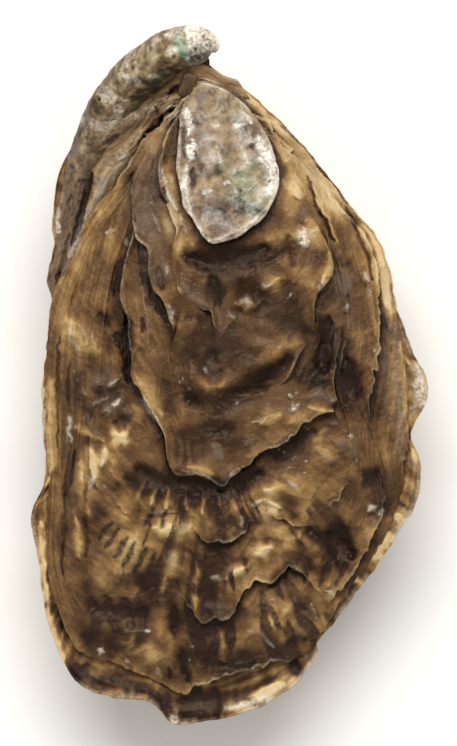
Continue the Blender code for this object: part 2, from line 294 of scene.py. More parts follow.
UPPER_STROKES = [
    # Broad light and dark parts.
    ("pale_wear_and_glint", [(25.2, 14.6), (26.6, 5.0), (27.6, -6.0), (27.4, -14.0)], 1.0, 0.14, 0.0),
    ("grey", [(24.6, 4.0), (25.4, -8.0)], 1.3, 0.30, 0.0),
    ("tone", [(-8.0, -45.6), (0.0, -46.4), (6.0, -46.4)], 1.6, -0.24, 0.0),
    ("purple_fold_and_shade", [(-0.6, -22.0), (0.4, -27.0)], 1.0, 0.50, 0.0),
    ("purple_fold_and_shade", [(-3.4, -39.0), (-3.0, -46.0)], 1.4, 0.50, 0.0),
    ("purple_fold_and_shade", [(-19.6, -37.6), (-17.6, -41.6)], 1.6, 0.50, 0.0),
    ("purple_fold_and_shade", [(13.0, -33.8), (11.6, -38.0)], 0.9, 0.50, 0.0),
    ("purple_fold_and_shade", [(19.4, -27.0), (16.6, -30.6)], 1.2, 0.50, 0.0),
    ("tone", [(-14.6, -40.6), (-12.0, -42.6)], 1.5, -0.26, 0.0),
    ("tone", [(9.0, -17.0), (10.6, -23.0)], 1.6, -0.26, 0.0),
    ("tone", [(-12.6, -17.6), (-9.6, -19.6)], 1.4, -0.22, 0.0),
    ("tone", [(10.0, -36.6), (13.6, -38.6)], 1.5, -0.24, 0.0),
    ("tone", [(1.6, -22.0), (2.6, -24.6)], 1.2, -0.24, 0.0),
    ("tone", [(9.4, 14.6), (10.4, 11.4)], 1.3, -0.26, 0.0),
    ("tone", [(-15.0, -5.0), (-14.2, -7.4)], 1.2, 0.26, 0.0),
    ("tone", [(-18.4, -9.0), (-18.4, -15.0)], 1.3, 0.20, 0.0),
    ("tone", [(-26.6, 15.4), (-26.6, 4.0)], 1.2, 0.20, 0.0),
    ("tone", [(-8.0, -20.6), (-4.0, -22.6)], 1.3, -0.20, 0.0),
    ("tone", [(5.0, -49.6), (7.0, -48.0)], 1.2, -0.20, 0.0),
    ("tone", [(-14.0, -37.0), (-11.0, -43.6)], 2.4, -0.20, 0.0),
    ("tone", [(13.4, -10.0), (15.6, -14.0)], 1.5, 0.22, 0.0),
    ("tone", [(25.0, 7.0), (26.0, 2.0), (26.0, -6.0)], 1.1, 0.22, 0.0),
    ("tone", [(13.4, 22.8), (14.6, 20.0)], 1.3, 0.24, 0.0),
    ("tone", [(-7.0, 26.0), (-6.2, 23.4)], 1.0, 0.30, 0.0),
    ("tone", [(-18.6, 23.0), (-19.0, 17.0)], 1.5, 0.20, 0.0),
    ("tone", [(6.6, 42.0), (9.6, 38.0), (8.6, 33.4)], 1.4, 0.20, 0.0),
    ("tone", [(17.4, -36.6), (19.0, -38.0)], 1.2, 0.20, 0.0),
    ("tone", [(-17.6, -23.6), (-13.6, -29.0)], 3.2, 0.10, 0.2),
    ("tone", [(-9.6, -24.6), (-8.8, -30.6)], 1.9, 0.20, 0.2),
    ("tone", [(3.6, -17.0), (8.0, -20.0), (8.4, -26.0)], 3.2, 0.04, 0.2),
    ("tone", [(4.4, -35.6), (7.4, -42.0)], 3.0, 0.02, 0.2),
    ("tone", [(-22.6, -33.6), (-22.6, -42.6)], 2.2, -0.20, 0.0),
    ("tone", [(-6.2, -21.6), (2.0, -26.0)], 1.6, 0.20, 0.0),
    ("tone", [(22.6, -25.6), (25.4, -23.0)], 1.8, 0.30, 0.0),
    ("tone", [(10.0, 17.6), (14.0, 18.6), (19.0, 17.8)], 1.7, -0.20, 0.0),
    ("tone", [(3.0, 20.6), (8.0, 22.4), (13.0, 22.6)], 1.4, 0.28, 0.0),
    ("tone", [(21.0, 23.6), (23.0, 20.4)], 1.3, 0.28, 0.0),
    ("tone", [(9.6, 31.6), (10.8, 28.6)], 1.5, 0.28, 0.0),
    ("tone", [(5.4, 42.4), (8.6, 38.4)], 1.6, 0.22, 0.0),
    ("tone", [(-9.6, 34.6), (-9.6, 28.6)], 1.2, 0.24, 0.0),
    ("tone", [(-6.6, 22.6), (-5.6, 20.8)], 1.2, 0.26, 0.0),
    ("tone", [(-2.6, -19.0), (-1.4, -26.0), (-3.0, -34.0), (-2.6, -40.0)], 2.0, -0.42, -0.1),
    ("purple_fold_and_shade", [(-21.0, -37.4), (-14.6, -38.8)], 2.5, 0.55, -0.2),
    ("purple_fold_and_shade", [(-5.8, -41.0), (-1.8, -44.0)], 2.0, 0.45, 0.0),
    ("tone", [(17.4, -23.0), (18.6, -31.0)], 2.2, -0.42, -0.2),
    ("tone", [(-22.8, -12.0), (-22.6, -22.0)], 1.6, 0.35, 0.0),
    ("tone", [(-16.2, -16.4), (-13.0, -18.6)], 1.8, -0.45, 0.0),
    ("tone", [(3.6, 43.0), (7.6, 39.8)], 1.5, 0.45, 0.0),
    ("tone", [(-10.6, 39.6), (-11.8, 35.6)], 1.6, 0.40, 0.0),
    ("tone", [(-9.2, 27.0), (-8.0, 20.0)], 1.8, 0.40, 0.0),
    ("tone", [(14.6, 8.4), (16.4, 2.0)], 2.0, -0.28, 0.0),
    ("tone", [(5.0, 2.2), (8.0, 3.4)], 1.4, 0.26, 0.0),
    ("tone", [(4.6, -21.6), (8.0, -21.2)], 1.4, 0.45, 0.0),
    ("tone", [(9.0, -29.4), (14.0, -31.0)], 2.0, -0.26, 0.0),
    ("tone", [(-10.4, -26.8), (-5.0, -30.0)], 2.2, -0.30, 0.0),
    ("tone", [(-11.0, -38.0), (-2.0, -40.0)], 2.4, -0.30, 0.0),
    ("tone", [(-16.0, -45.6), (-6.0, -49.0), (4.0, -47.0)], 1.6, -0.26, 0.0),
    ("tone", [(12.0, -9.6), (15.0, -8.6)], 1.4, 0.20, 0.0),
    ("tone", [(8.6, 38.6), (13.6, 32.0), (17.8, 26.0)], 3.0, 0.50, 0.0),
    ("tone", [(21.0, 24.0), (24.0, 17.0), (26.0, 10.0)], 2.0, 0.25, 0.0),
    ("tone", [(25.2, 13.0), (26.2, 8.4)], 1.3, 0.32, 0.0),
    ("tone", [(8.4, 30.4), (9.8, 26.0)], 2.0, 0.30, 0.0),
    ("tone", [(-9.4, 31.0), (-9.2, 23.0)], 1.6, 0.40, 0.0),
    ("tone", [(-17.8, 31.0), (-20.6, 25.0)], 2.0, 0.22, 0.0),
    ("tone", [(1.6, 14.6), (6.6, 10.4), (11.4, 7.6)], 3.2, -0.44, 0.0),
    ("tone", [(-2.0, 6.0), (3.0, 1.0), (9.0, 3.0)], 3.2, -0.26, 0.0),
    ("tone", [(-10.0, -17.0), (-4.0, -18.6), (2.0, -17.6)], 1.6, -0.40, 0.0),
    ("tone", [(-18.0, -18.0), (-21.0, -23.0)], 2.2, -0.30, 0.0),
    ("tone", [(2.0, -25.0), (7.0, -26.0)], 2.4, -0.30, 0.0),
    ("tone", [(-14.0, -33.0), (-8.0, -33.0)], 2.6, -0.26, 0.0),
    ("tone", [(-5.8, 14.0), (-6.0, 4.0), (-6.0, -4.0)], 2.6, -0.28, 0.0),
    ("tone", [(-10.8, 2.0), (-9.8, -6.0)], 2.2, -0.22, 0.0),
    ("tone", [(13.6, 1.4), (14.4, -3.0)], 2.2, -0.34, 0.0),
    ("tone", [(17.6, 7.0), (18.6, 0.0), (19.0, -6.0)], 2.2, -0.28, 0.0),
    ("tone", [(-1.4, -9.6), (2.2, -11.0)], 2.4, -0.30, 0.0),
    ("tone", [(-28.4, -1.0), (-28.6, -9.0), (-28.4, -15.0)], 1.4, 0.50, 0.0),
    ("tone", [(-27.6, -17.0), (-27.2, -24.0)], 1.4, 0.25, 0.0),
    ("tone", [(22.0, -16.0), (25.0, -18.0), (23.6, -23.0)], 2.4, -0.34, 0.0),
    ("tone", [(18.0, -25.0), (16.0, -32.0)], 2.6, -0.30, 0.0),
    ("tone", [(-14.6, -32.0), (-10.6, -34.6)], 2.4, -0.40, 0.0),
    ("tone", [(-2.0, -38.0), (5.0, -37.6)], 2.6, -0.30, 0.0),
    ("tone", [(-23.0, -42.0), (-17.0, -44.0)], 2.2, -0.42, 0.0),
    ("tone", [(-8.0, -44.0), (0.0, -46.0), (8.0, -44.6)], 2.6, -0.28, 0.0),
    ("grey", [(-11.6, 37.0), (-13.6, 29.0), (-13.0, 22.0), (-11.4, 15.0)], 2.2, 0.60, 0.0),
    ("grey", [(-9.6, 31.0), (-8.8, 22.0)], 1.5, 0.55, 0.0),
    ("grey", [(-4.0, 13.0), (-2.0, 8.0), (4.0, 6.0), (8.0, 12.0)], 3.2, 0.10, 0.0),
    # Painted shade in the cavity right of the short tongue.
    ("tone", [(14.8, 4.4), (15.0, 0.6)], 1.4, -0.60, -0.4),
    ("tone", [(2.0, 8.6), (9.0, 9.6)], 1.8, 0.10, 0.2),
    ("grey", [(9.0, 38.0), (14.0, 31.0), (19.0, 25.0)], 2.6, 0.30, 0.0),
    ("grey", [(17.8, 16.0), (18.6, 8.0)], 1.6, 0.40, 0.0),
    # The trough under the crown, darkened as painted shade, and the lobes of the notched plate, with
    # painted highlights on their bumps.
    ("tone", [(-6.4, 18.4), (-2.4, 17.4), (1.8, 18.4), (5.4, 20.2)], 2.0, -0.52, -0.7),
    ("tone", [(-2.6, 15.0), (-1.8, 11.6)], 1.6, -0.55, -0.4),
    ("tone", [(3.8, 17.4), (8.4, 19.6)], 1.6, -0.30, -0.3),
    ("purple_fold_and_shade", [(-5.2, 19.4), (-5.0, 17.8)], 0.72, 0.5, -0.06),
    ("purple_fold_and_shade", [(-2.2, 19.4), (-2.2, 17.8)], 0.72, 0.5, -0.06),
    ("purple_fold_and_shade", [(0.9, 20.0), (1.1, 18.4)], 0.72, 0.4, -0.06),
    ("tone", [(-8.6, 13.4), (-6.0, 11.6), (-4.0, 9.6)], 1.7, 0.25, 0.5),
    ("grey", [(-7.6, 14.6), (-5.4, 12.4), (-3.2, 10.6)], 0.9, 0.75, 0.6),
    ("tone", [(5.6, 13.4), (8.0, 15.2)], 1.4, 0.40, 0.9),
    ("pale_wear_and_glint", [(5.2, 14.0), (7.0, 14.4)], 0.61, 0.4, 0.25),
    ("pale_wear_and_glint", [(2.0, 11.9), (3.6, 11.3)], 0.68, 0.4, 0.3),
    ("tone", [(1.8, 11.0), (4.0, 10.9)], 1.3, 0.35, 0.9),
    ("tone", [(9.0, 18.4), (12.0, 16.0), (13.4, 13.8)], 1.8, 0.25, 0.3),
    ("grey", [(-1.8, 10.6), (-1.2, 8.6)], 0.8, 0.45, -0.2),
    ("pale_wear_and_glint", [(-0.1, 10.0), (0.7, 9.1)], 0.34, 0.4, 0.1),
    # Painted highlight on the white knob at the right of the notched plate.
    ("pale_wear_and_glint", [(11.5, 23.2), (12.1, 20.6)], 0.8, 1.7, 0.7),
    ("grey", [(11.2, 26.8), (11.6, 24.4)], 0.7, 0.9, 0.3),
    ("tone", [(12.6, 24.6), (14.0, 23.0)], 1.2, 0.25, 0.4),
    ("tone", [(15.7, 19.4), (16.1, 16.8), (14.9, 14.4)], 0.7, 0.40, 0.3),
    ("pale_wear_and_glint", [(15.4, 15.4), (14.2, 13.4)], 0.41, 0.36, 0.1),
    ("tone", [(9.4, 22.0), (10.2, 17.4)], 1.0, -0.25, -0.4),
    # The short tongue: crest, pit, painted shade above the pit and on the slope under the crest, and the
    # tan right half.
    ("tone", [(5.2, 7.6), (8.4, 4.8), (4.2, 4.4)], 2.0, 0.12, 0.5),
    ("tone", [(-8.2, 7.6), (-5.4, 8.2)], 1.6, 0.20, 0.3),
    ("tone", [(-11.2, 16.6), (-10.4, 13.8)], 0.9, -0.35, -0.4),
    ("grey", [(-14.2, 24.2), (-13.4, 22.0)], 1.1, 0.8, 0.3),
    ("grey", [(-10.6, 18.2), (-10.0, 14.6)], 0.8, 0.5, 0.1),
    ("pale_wear_and_glint", [(-9.8, 17.4), (-9.7, 16.0)], 0.34, 0.43, 0.1),
    ("pale_wear_and_glint", [(-9.3, 11.0), (-8.9, 7.6)], 0.41, 0.43, 0.2),
    ("purple_fold_and_shade", [(-6.7, 9.3), (-6.3, 9.0)], 0.65, 0.9, -0.16),
    ("tone", [(-3.0, 3.6), (-2.2, 2.0)], 1.5, -0.30, -0.4),
    ("purple_fold_and_shade", [(-3.8, 1.2), (-2.6, 0.0), (-1.2, 0.2)], 1.2, 0.7, -0.5),
    ("grey", [(-3.8, 1.0), (-1.6, 0.4)], 1.0, 1.0, 0.2),
    ("pale_wear_and_glint", [(-4.0, 0.9), (-3.3, 0.5)], 0.36, 0.4, 0.1),
    ("tone", [(-5.8, 1.6), (-5.4, -0.6), (-3.4, -1.9), (-1.0, -1.7)], 1.1, 0.12, 0.1),
    ("tone", [(-8.4, 0.6), (-5.8, -0.6), (-3.6, -2.2)], 1.6, 0.18, 0.4),
    ("tone", [(-1.4, -1.9), (1.2, -1.2), (4.4, 1.0), (8.2, 3.2), (11.8, 4.8)], 1.7, 0.16, 0.5),
    ("tone", [(-6.4, -4.2), (-2.0, -4.8), (2.4, -2.6), (6.6, 0.2), (9.6, 2.4)], 1.7, -0.34, -0.4),
    ("purple_fold_and_shade", [(10.1, 5.6), (9.8, 5.2)], 0.87, 0.55, -0.08),
    ("pale_wear_and_glint", [(11.1, 3.4), (10.3, 1.4), (9.4, -0.2)], 0.3, 0.15, 0.1),
    ("purple_fold_and_shade", [(-4.6, -6.4), (-2.0, -6.6), (0.2, -5.6), (3.4, -4.2)], 0.87, 0.65, -0.12),
    ("grey", [(-6.8, -6.0), (-4.8, -6.0)], 0.5, 0.5, 0.1),
    ("pale_wear_and_glint", [(1.1, -4.4), (1.5, -4.3)], 0.34, 0.58, 0.1),
    ("pale_wear_and_glint", [(7.8, 4.2), (8.2, 3.9)], 0.34, 0.36, 0.0),
    # The long tongue: left strip, gold left corner, painted shade in the trough across it, ribbed tip,
    # and lumps on the right with painted highlights.
    ("tone", [(-14.6, 12.0), (-14.4, 4.0)], 1.2, 0.12, 0.2),
    ("tone", [(-13.9, 9.0), (-13.8, 6.8)], 0.5, -0.35, -0.2),
    ("pale_wear_and_glint", [(-13.8, 15.0), (-13.2, 11.0), (-12.9, 6.0), (-12.3, 3.0)], 0.25, 0.18, 0.12),
    ("tone", [(-14.4, -0.6), (-12.4, -3.4), (-10.6, -6.4)], 1.3, 0.38, 0.4),
    ("pale_wear_and_glint", [(-13.7, -3.8), (-12.6, -5.6), (-11.4, -7.6)], 0.43, 0.54, 0.2),
    ("tone", [(-3.6, -8.4), (0.2, -9.0)], 2.0, -0.30, -0.4),
    ("tone", [(-8.4, -9.2), (-7.6, -6.4)], 1.2, 0.10, 0.3),
    ("purple_fold_and_shade", [(-8.4, -10.6), (-8.2, -14.0)], 0.45, 0.9, -0.1),
    ("purple_fold_and_shade", [(-7.1, -9.8), (-7.0, -14.6)], 0.45, 0.9, -0.1),
    ("purple_fold_and_shade", [(-5.6, -10.6), (-5.7, -14.0)], 0.40, 0.8, -0.1),
    ("purple_fold_and_shade", [(-4.0, -10.4), (-4.0, -13.2)], 0.36, 0.6, -0.08),
    ("grey", [(-2.4, -11.8), (-0.8, -13.6)], 0.9, 1.2, 0.2),
    ("tone", [(-6.6, -14.8), (-2.4, -15.6)], 0.8, 0.34, 0.2),
    ("tone", [(-9.0, -9.0), (-2.0, -10.0)], 1.3, -0.20, 0.0),
    ("pale_wear_and_glint", [(-7.4, -15.6), (-4.6, -15.9), (-2.6, -16.5)], 0.34, 0.36, 0.1),
    ("pale_wear_and_glint", [(-0.1, -16.0), (1.8, -15.3)], 0.34, 0.43, 0.1),
    ("grey", [(-0.9, -15.4), (-0.7, -17.0)], 0.5, 0.5, 0.0),
    ("tone", [(5.2, -7.8), (8.0, -6.4)], 1.5, 0.42, 0.9),
    ("pale_wear_and_glint", [(3.8, -7.7), (5.4, -7.2), (7.0, -6.2)], 0.35, 0.58, 0.25),
    ("pale_wear_and_glint", [(9.7, -3.8), (10.1, -3.6)], 0.4, 1.4, 0.4),
    ("pale_wear_and_glint", [(9.9, -5.6), (11.0, -5.0)], 0.54, 0.58, 0.4),
    ("tone", [(9.4, -7.6), (11.8, -6.8)], 1.1, 0.25, 0.3),
    ("grey", [(12.4, -4.0), (14.6, -3.2), (16.2, -4.4)], 1.0, 1.0, 0.4),
    ("tone", [(12.4, -5.4), (16.2, -5.8)], 0.4, 0.35, 0.1),
    # The gap right of the short tongue, darkened with purple as painted shade.
    ("purple_fold_and_shade", [(12.6, 6.4), (14.4, 3.4), (15.0, 1.0)], 1.74, 0.75, -0.48),
    ("tone", [(11.2, -0.4), (14.6, -1.2)], 1.4, -0.20, 0.1),
    ("grey", [(2.4, -11.6), (4.0, -10.6)], 0.9, 0.3, 0.3),
    ("tone", [(3.0, -13.4), (7.6, -11.0), (10.2, -9.2)], 0.9, 0.15, 0.2),
    # Under the tongues: black folded shade, gold swells, and purple folds in the middle.
    ("tone", [(-14.4, -14.8), (-10.4, -17.4), (-5.0, -18.2), (0.8, -18.0), (4.6, -16.0)], 1.9,
     -0.62, -0.4),
    ("tone", [(-11.4, -18.0), (-12.6, -20.8)], 0.42, 0.45, 0.15),
    ("tone", [(-9.3, -18.4), (-10.0, -21.4)], 0.42, 0.45, 0.15),
    ("tone", [(-6.6, -18.8), (-6.8, -21.8)], 0.45, 0.45, 0.15),
    ("tone", [(-4.2, -19.0), (-4.2, -21.8)], 0.40, 0.40, 0.15),
    ("tone", [(-13.2, -17.0), (-14.8, -19.8)], 0.40, 0.40, 0.15),
    ("tone", [(-1.8, -19.0), (-1.6, -21.2)], 0.38, 0.35, 0.12),
    # Painted shade under the long tongue's right edge, and beside the left edges of both tongues.
    ("tone", [(8.0, -13.2), (13.4, -9.2)], 1.7, -0.55, -0.3),
    ("tone", [(-16.2, 9.0), (-16.4, 3.4), (-15.8, -1.0)], 0.9, -0.55, -0.6),
    ("tone", [(-18.0, 6.6), (-17.6, 4.4)], 0.9, -0.55, -0.4),
    ("tone", [(-14.2, 20.4), (-13.4, 15.6), (-11.4, 11.2), (-9.8, 8.0)], 0.6, -0.45, -0.2),
    ("purple_fold_and_shade", [(-13.8, -15.6), (-15.4, -18.6)], 0.55, 0.6, 0.0),
    ("purple_fold_and_shade", [(-12.4, -16.8), (-13.8, -20.2)], 0.55, 0.7, 0.0),
    ("purple_fold_and_shade", [(-10.6, -17.4), (-11.6, -20.8)], 0.6, 0.8, 0.0),
    ("purple_fold_and_shade", [(-8.0, -18.0), (-8.4, -21.0)], 0.6, 0.7, 0.0),
    ("purple_fold_and_shade", [(-5.2, -18.0), (-5.4, -21.6)], 0.65, 0.8, 0.0),
    ("purple_fold_and_shade", [(-3.0, -18.6), (-3.2, -22.6)], 0.7, 0.9, 0.0),
    ("purple_fold_and_shade", [(-0.6, -18.4), (-0.2, -21.6)], 0.6, 0.8, 0.0),
    ("tone", [(-19.6, -20.0), (-16.4, -23.4)], 2.4, 0.22, 0.7),
    ("tone", [(-12.0, -24.6), (-6.6, -24.8)], 1.7, 0.38, 0.6),
    # Painted highlights on the gold swell left of the band.
    ("tone", [(-17.8, -9.4), (-16.6, -10.6)], 1.7, 0.85, 0.6),
    ("pale_wear_and_glint", [(-17.6, -9.2), (-16.4, -9.8)], 0.41, 0.29, 0.2),
    ("tone", [(-19.8, -12.0), (-20.4, -14.4)], 0.9, 0.50, 0.4),
    ("purple_fold_and_shade", [(-14.4, -20.8), (-14.9, -23.4)], 0.58, 0.75, -0.08),
    ("grey", [(-12.8, -22.4), (-9.0, -22.2)], 0.45, 0.7, 0.25),
    ("purple_fold_and_shade", [(-2.0, -21.4), (-0.8, -25.8)], 0.7, 1.6, 0.08),
    ("grey", [(-1.6, -22.4), (-0.4, -24.6)], 0.25, 0.5, 0.15),
    ("purple_fold_and_shade", [(0.2, -22.6), (1.5, -26.0)], 0.7, 1.7, 0.08),
    ("pale_wear_and_glint", [(1.8, -22.8), (1.9, -24.4)], 0.34, 0.5, 0.1),
    ("purple_fold_and_shade", [(-4.2, -22.8), (-4.0, -26.2)], 0.58, 0.6, -0.08),
    ("tone", [(2.8, -15.6), (5.0, -14.6)], 1.2, -0.1, 0.2),
    ("tone", [(8.6, -16.4), (11.0, -18.4), (6.0, -18.6)], 1.5, 0.35, 0.6),
    # Painted highlights on the gold swells right of the middle.
    ("pale_wear_and_glint", [(9.4, -17.4), (11.0, -18.2)], 0.41, 0.43, 0.2),
    ("pale_wear_and_glint", [(3.4, -21.1), (5.8, -20.2), (8.6, -21.4)], 0.41, 0.5, 0.35),
    ("grey", [(5.2, -23.2), (8.4, -22.8)], 1.4, 0.30, 0.4),
    ("tone", [(4.4, -25.6), (9.6, -24.6)], 1.5, 0.22, 0.3),
    ("tone", [(12.0, -22.0), (15.6, -18.6)], 1.8, 0.08, 0.3),
    ("tone", [(13.0, -25.4), (16.6, -26.6), (19.6, -28.6)], 1.7, -0.70, -0.8),
    ("purple_fold_and_shade", [(16.0, -26.0), (18.6, -27.4)], 1.3, 0.7, -0.12),
    ("purple_fold_and_shade", [(14.0, -25.2), (13.4, -27.2)], 0.87, 0.6, -0.12),
    ("purple_fold_and_shade", [(11.8, -28.6), (11.2, -30.2)], 1.01, 0.6, -0.12),
    ("tone", [(14.6, -29.6), (13.0, -33.0)], 0.8, 0.05, 0.3),
    ("tone", [(17.0, -30.4), (15.8, -34.0)], 0.6, 0.15, 0.4),
    ("purple_fold_and_shade", [(15.8, -30.0), (14.6, -34.0)], 0.5, 1.4, -0.16),
    ("purple_fold_and_shade", [(18.6, -30.4), (17.2, -34.0)], 0.5, 1.3, -0.14),
    ("purple_fold_and_shade", [(13.0, -29.6), (12.2, -33.4)], 0.45, 1.2, -0.12),
    ("pale_wear_and_glint", [(15.6, -34.8), (16.8, -35.6)], 0.34, 0.72, 0.1),
    ("pale_wear_and_glint", [(10.3, -30.9), (11.2, -31.6)], 0.34, 0.5, 0.1),
    # Lumps and purple blisters beside the long tongue, with painted glints on the blisters.
    ("purple_fold_and_shade", [(-24.0, 0.0), (-24.2, -4.0), (-22.0, -7.0)], 1.4, 0.9, -0.2),
    ("purple_fold_and_shade", [(-21.6, -2.4), (-20.0, -4.6), (-17.6, -3.4)], 1.0, 0.7, -0.2),
    ("purple_fold_and_shade", [(-22.6, 1.0), (-20.4, 0.4)], 1.1, 0.50, -0.1),
    ("purple_fold_and_shade", [(-21.0, -3.0), (-18.6, -2.8), (-16.6, -2.2)], 0.8, 0.60, -0.3),
    ("grey", [(-22.4, -0.6), (-20.0, -0.8), (-18.0, -5.4)], 2.2, 0.50, 0.0),
    ("grey", [(-21.4, -1.0), (-20.6, -1.6)], 0.7, 0.6, 0.4),
    ("grey", [(-19.6, -1.9), (-18.4, -1.2), (-17.4, -0.8)], 0.6, 0.6, 0.5),
    ("pale_wear_and_glint", [(-19.4, -2.0), (-17.8, -1.0)], 0.30, 0.9, 0.2),
    ("grey", [(-20.0, -6.4), (-18.4, -5.4), (-17.0, -4.4)], 1.0, 0.9, 0.7),
    ("pale_wear_and_glint", [(-18.4, -5.0), (-17.2, -4.2)], 0.38, 0.9, 0.2),
    ("pale_wear_and_glint", [(-19.6, -6.2), (-18.6, -5.8)], 0.34, 0.35, 0.1),
    ("pale_wear_and_glint", [(-22.2, -5.0), (-20.6, -4.4), (-19.4, -3.8)], 0.34, 0.40, 0.3),
    ("pale_wear_and_glint", [(-23.2, -2.4), (-23.0, -3.4)], 0.3, 0.35, 0.2),
    ("grey", [(-16.6, -4.8), (-15.6, -6.8)], 0.8, 0.5, 0.1),
    ("tone", [(-18.0, -7.4), (-15.4, -6.6)], 0.8, -0.35, -0.2),
    ("pale_wear_and_glint", [(-25.8, -6.9), (-25.5, -9.0), (-25.2, -11.0)], 0.36, 0.65, 0.3),
    ("tone", [(-24.8, -8.2), (-22.4, -9.4), (-19.8, -10.8)], 0.7, 0.40, 0.3),
    ("grey", [(-22.8, -6.6), (-21.6, -8.6), (-20.2, -10.6)], 0.5, 0.7, 0.3),
    ("purple_fold_and_shade", [(-22.8, -10.2), (-22.2, -11.8)], 0.8, 0.6, -0.2),
    ("tone", [(-22.4, -11.6), (-21.6, -14.0), (-21.6, -17.0)], 0.9, 0.45, 0.3),
    ("pale_wear_and_glint", [(-21.5, -16.6), (-22.4, -18.4)], 0.5, 0.85, 0.2),
    ("pale_wear_and_glint", [(-19.8, -12.0), (-20.4, -14.6)], 0.5, 0.40, 0.2),
    ("tone", [(-23.8, -14.0), (-23.6, -17.0)], 0.8, 0.3, 0.2),
    # Gold left flank.
    ("tone", [(-25.4, 8.6), (-23.6, 5.4), (-21.4, 3.4)], 1.9, 0.35, 0.5),
    ("pale_wear_and_glint", [(-25.8, 7.4), (-25.0, 5.4), (-24.0, 3.8)], 0.41, 0.3, 0.25),
    ("pale_wear_and_glint", [(-24.2, 8.2), (-23.2, 6.0), (-22.8, 4.6)], 0.34, 0.26, 0.2),
    ("tone", [(-20.4, 9.6), (-19.6, 8.0)], 1.2, -0.35, -0.3),
    ("pale_wear_and_glint", [(-22.1, 6.1), (-21.8, 5.6)], 0.34, 0.43, 0.1),
    ("pale_wear_and_glint", [(-19.5, 22.7), (-18.5, 22.6)], 0.38, 0.58, 0.2),
    ("pale_wear_and_glint", [(-19.3, 22.0), (-19.0, 21.8)], 0.34, 0.43, 0.1),
    ("pale_wear_and_glint", [(-16.6, 21.4), (-16.5, 20.6)], 0.34, 0.43, 0.1),
    ("tone", [(-21.0, 26.0), (-23.6, 19.0), (-25.4, 13.0)], 1.4, 0.22, 0.1),
    # Painted shade beside the long tongue's left edge.
    ("tone", [(-17.6, 18.0), (-18.4, 13.0)], 0.9, -0.30, -0.2),
    ("purple_fold_and_shade", [(-25.2, -19.0), (-24.8, -21.4)], 0.87, 0.45, -0.08),
    ("tone", [(-24.3, -23.4), (-24.0, -29.0)], 0.8, 0.42, 0.3),
    ("tone", [(-23.0, -17.6), (-22.8, -29.0)], 0.45, -0.26, -0.1),
    ("tone", [(-26.0, -15.6), (-26.4, -24.0), (-26.6, -32.0)], 0.45, -0.30, -0.1),
    ("tone", [(-27.2, 6.0), (-27.6, -4.0), (-27.4, -12.0)], 0.3, -0.35, -0.15),
    ("tone", [(-25.6, 1.6), (-25.8, -5.0)], 0.3, -0.35, -0.15),
    ("tone", [(-24.8, -12.6), (-25.4, -17.8)], 0.35, -0.45, -0.2),
    ("tone", [(-20.8, -30.0), (-20.2, -34.0)], 1.6, 0.12, 0.3),
    # Fans of dark folds below the band.
    ("tone", [(-19.0, -27.0), (-14.6, -29.6)], 2.6, 0.16, 0.0),
    ("purple_fold_and_shade", [(-18.6, -23.6), (-20.8, -26.4)], 0.42, 1.5, -0.12),
    ("purple_fold_and_shade", [(-17.4, -24.8), (-19.6, -27.8)], 0.42, 1.5, -0.12),
    ("purple_fold_and_shade", [(-16.2, -26.2), (-18.2, -29.4)], 0.55, 1.7, -0.15),
    ("purple_fold_and_shade", [(-14.9, -27.2), (-16.8, -30.6)], 0.48, 1.5, -0.12),
    ("purple_fold_and_shade", [(-13.4, -28.2), (-15.2, -31.8)], 0.55, 1.6, -0.15),
    ("purple_fold_and_shade", [(-11.9, -28.8), (-13.2, -32.6)], 0.45, 1.3, -0.12),
    ("purple_fold_and_shade", [(-9.9, -21.8), (-10.9, -24.6)], 0.42, 1.2, -0.10),
    ("purple_fold_and_shade", [(-12.0, -21.4), (-13.4, -24.4)], 0.42, 1.2, -0.10),
    ("tone", [(-13.0, -28.0), (-11.0, -29.4)], 1.0, -0.1, 0.2),
    ("tone", [(-9.0, -29.4), (-10.4, -34.8)], 1.5, 0.40, 0.3),
    ("purple_fold_and_shade", [(-5.6, -29.2), (-6.6, -35.4), (-6.2, -38.8)], 0.6, 1.5, -0.15),
    ("purple_fold_and_shade", [(-3.8, -28.4), (-4.0, -38.8)], 0.6, 1.4, -0.15),
    ("tone", [(-5.0, -30.0), (-5.2, -38.0)], 0.5, 0.30, 0.1),
    ("purple_fold_and_shade", [(-3.0, -26.6), (-3.2, -28.8)], 0.87, 0.4, -0.04),
    ("tone", [(-14.6, -26.0), (-18.0, -31.6)], 1.4, 0.15, 0.3),
    ("tone", [(4.4, -28.6), (6.4, -27.8)], 1.4, 0.60, 0.8),
    ("tone", [(-0.4, -32.6), (2.6, -31.0)], 1.1, 0.52, 0.7),
    ("pale_wear_and_glint", [(-2.5, -32.3), (-1.2, -32.9)], 0.34, 0.58, 0.1),
    ("purple_fold_and_shade", [(2.1, -29.4), (2.4, -30.2)], 0.87, 0.7, -0.12),
    ("tone", [(9.0, -28.0), (11.0, -26.4)], 1.2, 0.25, 0.4),
    ("tone", [(6.6, -33.6), (9.6, -30.8)], 0.9, -0.35, -0.3),
    ("grey", [(-1.4, -35.8), (-1.2, -38.8)], 0.8, 0.45, 0.2),
    # Purple and black folds, and gold ridges, of the last plate.
    ("purple_fold_and_shade", [(-22.2, -36.0), (-21.4, -39.6), (-22.2, -43.2)], 1.0, 1.7, -0.25),
    ("purple_fold_and_shade", [(-19.6, -36.0), (-18.2, -40.2)], 0.8, 1.6, -0.25),
    ("purple_fold_and_shade", [(-16.6, -36.4), (-15.8, -40.4)], 1.0, 1.7, -0.3),
    ("purple_fold_and_shade", [(-14.2, -36.8), (-13.8, -39.8)], 1.01, 0.9, -0.2),
    ("tone", [(-20.8, -37.6), (-13.6, -38.0)], 2.0, -0.30, -0.3),
    ("grey", [(-18.8, -38.4), (-19.0, -39.6)], 0.3, 0.5, 0.1),
